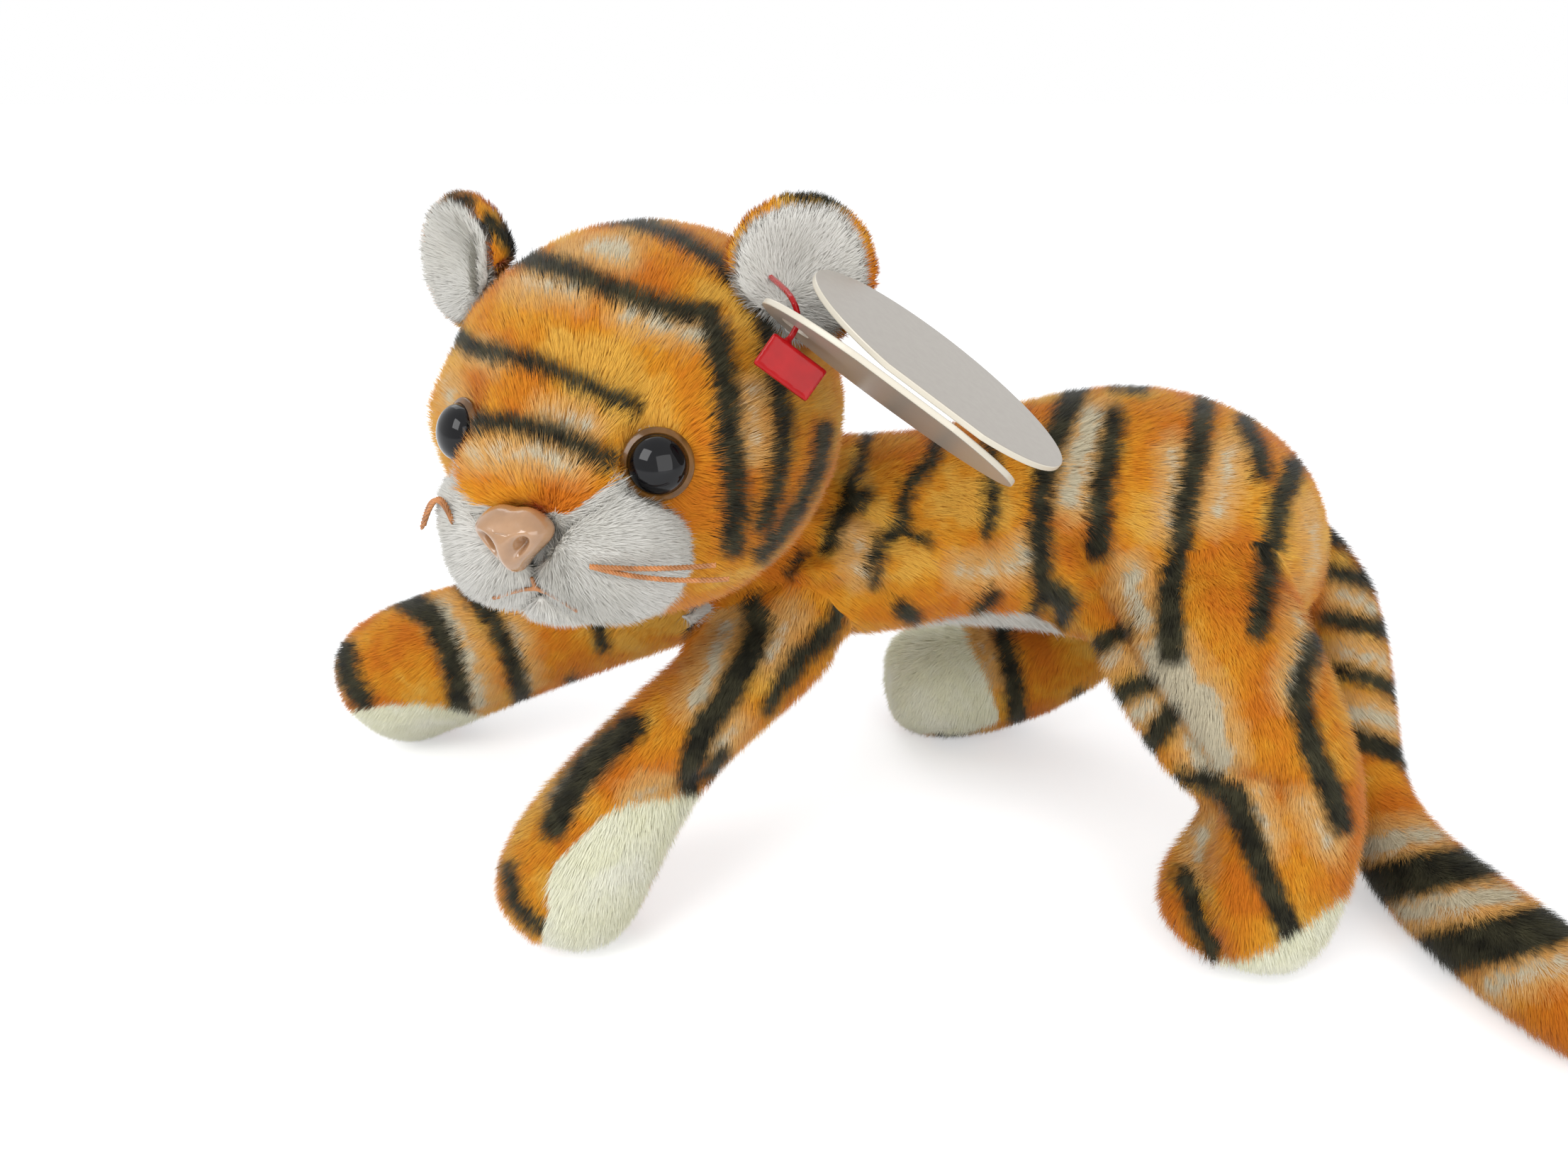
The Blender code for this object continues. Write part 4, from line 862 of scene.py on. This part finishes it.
# The cheeks and the chin, in denser and shorter white plush
CHEEK_WEAVE = (0.0006, 0.0008, 0.0002, 4)
CHEEK_PILE_PER_MM2 = 20.0
CHEEK_PILE_LENGTH = 0.0022
for index, member in enumerate(("cheek_left", "cheek_right", "chin")):
    skin = skin_round(member + "_plush", (member,), *CHEEK_WEAVE)
    if member == "cheek_right":
        puff(skin, on_head(-0.0195, -0.0360, -0.0080), -0.0026, 0.0075)
    cheek = dressed(member + "_plush", skin, white_plush)
    with_pile(cheek, CHEEK_PILE_PER_MM2, CHEEK_PILE_LENGTH, PILE_LEAN, brushed_from(NOSE_MIDDLE),
              seed=41 + index, bare=(*face_bare, (MOUTH_MIDDLE, MOUTH_ROOM)))
    stands_for(cheek, "head", member)

# The ears: a striped back and a white lining, each brushed out from the ear's root
EAR_STRIPES = {
    "left": ((20, ((1110, 276), (1150, 283), (1190, 292))), (16, ((1215, 300), (1235, 330)))),
    "right": ((20, ((690, 320), (715, 340), (728, 358))), (14, ((640, 285), (665, 290)))),
}
EAR_LEAN = 1.05
EAR_PARTS = (
    ("ear_back_", striped_plush, EAR_STRIPES, (0.0007, 0.0005, 0.0009, 4), 18.0, 0.0019, 51),
    ("ear_lining_", white_plush, {}, (0.0006, 0.0006, 0.0001, 4), 22.0, 0.0023, 61))
for side, sign in (("left", 1), ("right", -1)):
    root = on_head(sign * 0.0240, -0.0010, 0.0200)
    for part, cloth, stripes, weave, per_mm2, length, seed in EAR_PARTS:
        skin = skin_round(part + side + "_plush", (part + side,), *weave)
        ear = dressed(part + side + "_plush", skin, cloth, stripes.get(side, ()))
        with_pile(ear, per_mm2, length, EAR_LEAN, brushed_from(root), seed=seed + sign)
        stands_for(ear, "head", part + side)

# ---------------------------------------------------------------- eyes: amber iris and black dome
# Moulded safety eyes: an amber flange with a ribbed post through the cloth, a black domed pupil
# in it, and a nylon washer that locks the post from behind.
DOME_RADIUS = 0.0042
DOME_HEIGHT = 0.0030
DOME_BASE = 0.0016
SEAT_HEIGHT = 0.0015
LIP_HEIGHT = 0.00165
RIM_RADIUS = 0.0046
ROLL_MIDDLE = (0.00475, 0.00090)
ROLL_SIZE = (0.00045, 0.00055)
POST_RADIUS = 0.0016
POST_END = -0.0085
RIB_PITCH = 0.0019


def gloss(name, colour, roughness, mottle, coat=1.0, shine=0.5):
    """Polished moulded plastic, faintly clouded."""
    paint, tree, shader = new_paint(name, {"Coat Weight": coat, "Coat Roughness": 0.05,
                                           "Specular IOR Level": shine})
    place = add_node(tree, "TexCoord")
    cloud = add_node(tree, "TexNoise", {"Scale": 350.0, "Detail": 3.0})
    tree.links.new(place.outputs["Object"], cloud.inputs["Vector"])
    tint = add_node(tree, "ValToRGB")
    tint.color_ramp.elements[0].position = 0.35
    tint.color_ramp.elements[0].color = (*[c * (1.0 - mottle) for c in colour], 1.0)
    tint.color_ramp.elements[1].position = 0.65
    tint.color_ramp.elements[1].color = (*[min(1.0, c * (1.0 + mottle)) for c in colour], 1.0)
    tree.links.new(cloud.outputs["Fac"], tint.inputs["Fac"])
    tree.links.new(tint.outputs["Color"], shader.inputs["Base Color"])
    polish = add_node(tree, "MapRange", {"To Min": roughness * 0.8, "To Max": roughness * 1.3})
    tree.links.new(cloud.outputs["Fac"], polish.inputs["Value"])
    tree.links.new(polish.outputs["Result"], shader.inputs["Roughness"])
    return paint


def moulded(name, mesh, paint):
    """A smooth piece of one mesh and one paint."""
    mesh.materials.append(paint)
    mesh.shade_smooth()
    return linked(name, mesh)


def spun(name, profile, place, paint):
    """A turned piece: its profile of (radius, height) spun round and set in its place."""
    bm = bmesh.new()
    line = [bm.verts.new((radius, 0.0, height)) for radius, height in profile]
    edges = [bm.edges.new(pair) for pair in zip(line, line[1:])]
    bmesh.ops.spin(bm, geom=line + edges, axis=(0, 0, 1), cent=(0, 0, 0), dvec=(0, 0, 0),
                   angle=math.tau, steps=48, use_merge=True, use_duplicate=False)
    bmesh.ops.remove_doubles(bm, verts=bm.verts, dist=0.000002)
    bmesh.ops.recalc_face_normals(bm, faces=bm.faces)
    bmesh.ops.transform(bm, matrix=place, verts=bm.verts)
    piece = moulded(name, mesh_of(name, bm), paint)
    piece.data.set_sharp_from_angle(angle=math.radians(50.0))
    return piece


amber = gloss("amber_iris", (0.14, 0.060, 0.012), 0.16, 0.35, 0.25, 0.25)
black = gloss("black_pupil", (0.002, 0.002, 0.003), 0.05, 0.20, 0.2, 0.2)
for side, middle, sign in (("left", EYE_LEFT, 1), ("right", EYE_RIGHT, -1)):
    way = (head_turn @ Vector((sign * 0.50, -0.80, 0.30))).normalized()
    place = Matrix.Translation(middle) @ way.to_track_quat("Z", "Y").to_matrix().to_4x4()
    rim = [(0.0, SEAT_HEIGHT), (DOME_RADIUS, SEAT_HEIGHT),
           (DOME_RADIUS + 0.00015, LIP_HEIGHT)]
    for step in range(7):
        turn = math.radians(75.0 - 20.0 * step)
        rim.append((ROLL_MIDDLE[0] + ROLL_SIZE[0] * math.cos(turn),
                    ROLL_MIDDLE[1] + ROLL_SIZE[1] * math.sin(turn)))
    rim += [(RIM_RADIUS, 0.0), (POST_RADIUS, 0.0)]
    for rib in range(4):
        rim += [(POST_RADIUS, -RIB_PITCH * rib - 0.0006),
                (POST_RADIUS + 0.0003, -RIB_PITCH * rib - 0.0014)]
    rim += [(POST_RADIUS, POST_END), (0.0, POST_END)]
    iris = spun("eye_iris_" + side, rim, place, amber)
    dome = [(DOME_RADIUS * math.sin(math.radians(6.0 * step)),
             DOME_BASE + DOME_HEIGHT * math.cos(math.radians(6.0 * step))) for step in range(16)]
    pupil = spun("eye_pupil_" + side, dome + [(0.0, LIP_HEIGHT)], place, black)
    stands_for(iris, "head", "eye_ring_" + side)
    stands_for(pupil, "head", "eye_dome_" + side)

# ---------------------------------------------------------------- nose: one glossy moulding
# A tan-pink nose of soft plastic with two nostrils, two wings and a narrow foot. Its ribbed post,
# which goes through the cloth into its washer, is not part of this mesh.
nose_paint = gloss("tan_nose", (0.36, 0.195, 0.092), 0.20, 0.10)
NOSE_WIDTH = 0.0128
NOSE_HEIGHT = 0.0098
NOSE_DEPTH = 0.0076
nose_out = (head_turn @ Vector((0.0, -1.0, 0.10))).normalized()
nose_turn = Matrix((HEAD_LEFT, nose_out.cross(HEAD_LEFT), nose_out)).transposed().to_4x4()
tip = bmesh.new()
bmesh.ops.create_uvsphere(tip, u_segments=80, v_segments=56, radius=1.0)
for vertex in tip.verts:
    across, up, out = vertex.co
    low = min(1.0, max(0.0, (0.45 - up) / 1.35))
    low = low * low * (3.0 - 2.0 * low)
    wing = math.exp(-((abs(across) - 0.62) / 0.30) ** 2 - ((up - 0.10) / 0.42) ** 2)
    dent = math.exp(-((abs(across) - 0.50 - 0.12 * up) / 0.20) ** 2 - ((up + 0.06) / 0.24) ** 2)
    ridge = math.exp(-(across / 0.20) ** 2) * math.exp(-((up + 0.10) / 0.60) ** 2)
    if out > 0.0:
        out += 0.30 * wing - 0.80 * dent + 0.10 * ridge - 0.12 * (1.0 - low) * (across ** 2)
    up += 0.14 * wing - 0.10 * math.exp(-(across / 0.25) ** 2) * (up > 0.4)
    across *= 1.0 - 0.66 * low
    vertex.co = (across * NOSE_WIDTH / 2, up * NOSE_HEIGHT / 2, out * NOSE_DEPTH / 2)
bmesh.ops.smooth_vert(tip, verts=tip.verts, factor=0.5, use_axis_x=True, use_axis_y=True,
                      use_axis_z=True)
bmesh.ops.recalc_face_normals(tip, faces=tip.faces)
bmesh.ops.transform(tip, matrix=Matrix.Translation(NOSE_MIDDLE) @ nose_turn, verts=tip.verts)
stands_for(moulded("nose_moulding", mesh_of("nose_moulding", tip), nose_paint), "head", "nose")

# ---------------------------------------------------------------- lock washers
# Three toothed washers of natural nylon, pushed on the posts inside the head. They are the solids
# as they stand, with a finish of their own.
nylon = gloss("natural_nylon", (0.78, 0.78, 0.75), 0.45, 0.04, 0.0)
for member in ("nose_washer", "eye_left_washer", "eye_right_washer"):
    finish = nodes[member].data.materials
    finish.clear()
    finish.append(nylon)

# ---------------------------------------------------------------- whiskers and mouth stitch
# Each cheek has one stiff twisted cord sewn through it, whose two ends stand out side by side.
# The mouth is a row of brown thread pulled into the seam.
cord_paint = gloss("brown_cord", (0.42, 0.17, 0.055), 0.45, 0.30, 0.0)
WHISKERS = {
    "left": ((0.0118, -0.0419, -0.0060),
             (((0.0200, -0.0399, -0.0062), (0.0280, -0.0364, -0.0063)),
              ((0.0205, -0.0396, -0.0078), (0.0292, -0.0352, -0.0088)))),
    "right": ((-0.0107, -0.0405, -0.0026),
              (((-0.0136, -0.0390, 0.0000), (-0.0181, -0.0378, -0.0050)),
               ((-0.0148, -0.0384, -0.0006), (-0.0216, -0.0344, -0.0074)))),
}
TWIST_LENGTH = 0.0016
TWIST_RADIUS = 0.00019
PLY_RADIUS = 0.00021
for side, (root, tips) in WHISKERS.items():
    bm = bmesh.new()
    start = on_head(*root)
    for bend, tip in tips:
        turning, end = on_head(*bend), on_head(*tip)
        run = end - start
        across = run.cross(HEAD_UP).normalized()
        over = run.cross(across).normalized()
        bow = (turning - start.lerp(end, 0.5)) * 2.0
        for ply in range(3):
            line = []
            for step in range(97):
                share = step / 96
                middle = start + run * share + bow * (2.0 * share * (1.0 - share))
                turn = math.tau * (run.length / TWIST_LENGTH * share + ply / 3)
                aside = across * math.cos(turn) + over * math.sin(turn)
                line.append(middle + aside * TWIST_RADIUS)
            ring = bmesh.ops.create_circle(bm, segments=5, radius=PLY_RADIUS,
                                           cap_ends=False)["verts"]
            turn = run.to_track_quat("Z", "Y").to_matrix().to_4x4()
            bmesh.ops.transform(bm, matrix=Matrix.Translation(line[0]) @ turn, verts=ring)
            edges = {edge for vertex in ring for edge in vertex.link_edges}
            bmesh.ops.edgeloop_fill(bm, edges=list(edges))
            for before, after in zip(line, line[1:]):
                out = bmesh.ops.extrude_edge_only(bm, edges=list(edges))["geom"]
                ring = [part for part in out if isinstance(part, bmesh.types.BMVert)]
                edges = {part for part in out if isinstance(part, bmesh.types.BMEdge)}
                bmesh.ops.translate(bm, vec=after - before, verts=ring)
            bmesh.ops.edgeloop_fill(bm, edges=list(edges))
    bmesh.ops.recalc_face_normals(bm, faces=bm.faces)
    name = "whisker_" + side
    whisker = moulded(name + "_cord", mesh_of(name + "_cord", bm), cord_paint)
    stands_for(whisker, "head", name)

stitch_skin = skin_round("mouth_thread", ("mouth_stitch",), 0.00020, 0.0, 0.0, 2)
stands_for(moulded("mouth_thread", stitch_skin, cord_paint), "head", "mouth_stitch")

# ---------------------------------------------------------------- swing tag and its pin
# A folded card of coated board, bare on both sides, whose two leaves stand a little open, hung on
# a red plastic pin that is shot through the seam of the left ear.
FOLD = Matrix(((0.8090, -0.0794, 0.5824), (-0.0999, 0.9579, 0.2693),
               (-0.5793, -0.2760, 0.7670))).to_4x4()
FOLD.translation = Vector((-0.002462, -0.053226, 0.111909))
CARD_LONG = 0.042
CARD_WIDE = 0.028
CARD_THICK = 0.0009
FOLD_LONG = 0.015
CARD_OPEN = math.radians(24.0)
CARD_SHIFT = 0.0035
CARD_GAP = 0.0003
CARD_ROUNDING = 0.00018
HOLE_RADIUS = 0.0022
HOLE_INSET = 0.0055
half_fold = math.asin(FOLD_LONG / CARD_LONG)
card_paint, tree, shader = new_paint("coated_board", {
    "Coat Weight": 0.35, "Coat Roughness": 0.18, "Roughness": 0.42})
place = add_node(tree, "TexCoord")
grain = add_node(tree, "TexNoise", {"Scale": 900.0})
tree.links.new(place.outputs["Object"], grain.inputs["Vector"])
# The faces of the board are a grey-brown well below its white: painted shade, as on leaves turned
# from the light. The cut edges are lighter.
tint = add_node(tree, "ValToRGB")
tint.color_ramp.elements[0].color = (0.31, 0.275, 0.235, 1.0)
tint.color_ramp.elements[1].color = (0.36, 0.325, 0.28, 1.0)
tree.links.new(grain.outputs["Fac"], tint.inputs["Fac"])
edge_tint = add_node(tree, "Attribute")
edge_tint.attribute_name = "edge"
mix = add_node(tree, "Mix")
mix.data_type = "RGBA"
tree.links.new(edge_tint.outputs["Fac"], mix.inputs["Factor"])
tree.links.new(tint.outputs["Color"], mix.inputs["A"])
mix.inputs["B"].default_value = (0.58, 0.53, 0.43, 1.0)
tree.links.new(mix.outputs["Result"], shader.inputs["Base Color"])

for member, body, place in (
        ("tag_leaf_back", "tag_back", FOLD),
        ("tag_leaf_front", "tag_front",
         FOLD @ Matrix.Translation((CARD_SHIFT, 0.0, CARD_THICK + CARD_GAP))
         @ Matrix.Rotation(CARD_OPEN, 4, "X"))):
    bm = bmesh.new()
    reach = CARD_WIDE / 2 * math.cos(half_fold)
    rim = []
    for step in range(97):
        turn = -math.pi / 2 + half_fold + (math.tau - 2 * half_fold) * step / 96
        rim.append(bm.verts.new((CARD_LONG / 2 * math.cos(turn),
                                 reach + CARD_WIDE / 2 * math.sin(turn), -CARD_THICK / 2)))
    face = bm.faces.new(rim)
    raised = bmesh.ops.extrude_face_region(bm, geom=[face])["geom"]
    bmesh.ops.translate(bm, vec=(0.0, 0.0, CARD_THICK),
                        verts=[part for part in raised if isinstance(part, bmesh.types.BMVert)])
    flat_edges = [edge for edge in bm.edges if abs(edge.verts[0].co.z - edge.verts[1].co.z) < 1e-9]
    bmesh.ops.bevel(bm, geom=flat_edges, offset=CARD_ROUNDING, segments=2, profile=0.5,
                    material=-1, affect="EDGES", offset_type="OFFSET")
    bmesh.ops.recalc_face_normals(bm, faces=bm.faces)
    mesh = mesh_of(member + "_card", bm)
    leaf = linked(member + "_card", mesh)
    if member == "tag_leaf_back":
        hole_at = Vector((HOLE_INSET - CARD_LONG / 2, reach, 0.0))
        cone = bmesh.new()
        bmesh.ops.create_cone(cone, segments=32, radius1=HOLE_RADIUS, radius2=HOLE_RADIUS,
                              depth=0.01, cap_ends=True, matrix=Matrix.Translation(hole_at))
        punch = linked("punch", mesh_of("punch", cone))
        holed = leaf.modifiers.new("hole", "BOOLEAN")
        holed.object = punch
        graph = bpy.context.evaluated_depsgraph_get()
        leaf.data = bpy.data.meshes.new_from_object(leaf.evaluated_get(graph))
        leaf.modifiers.clear()
        bpy.data.objects.remove(punch, do_unlink=True)
        bpy.data.meshes.remove(mesh)
        leaf.data.name = member + "_card"
    mesh = leaf.data
    edge = mesh.attributes.new("edge", "FLOAT", "FACE")
    edge.data.foreach_set("value", [float(abs(face.normal.z) < 0.9) for face in mesh.polygons])
    mesh.transform(place)
    mesh.materials.clear()
    mesh.materials.append(card_paint)
    stands_for(leaf, body, member)

pin_paint = gloss("red_pin", (0.38, 0.004, 0.006), 0.18, 0.10, 0.15, 0.15)
pin_skin = skin_round("tag_pin_moulding", ("tag_pin",), 0.00022, 0.0, 0.0, 3)
stands_for(moulded("tag_pin_moulding", pin_skin, pin_paint), "head", "tag_pin")
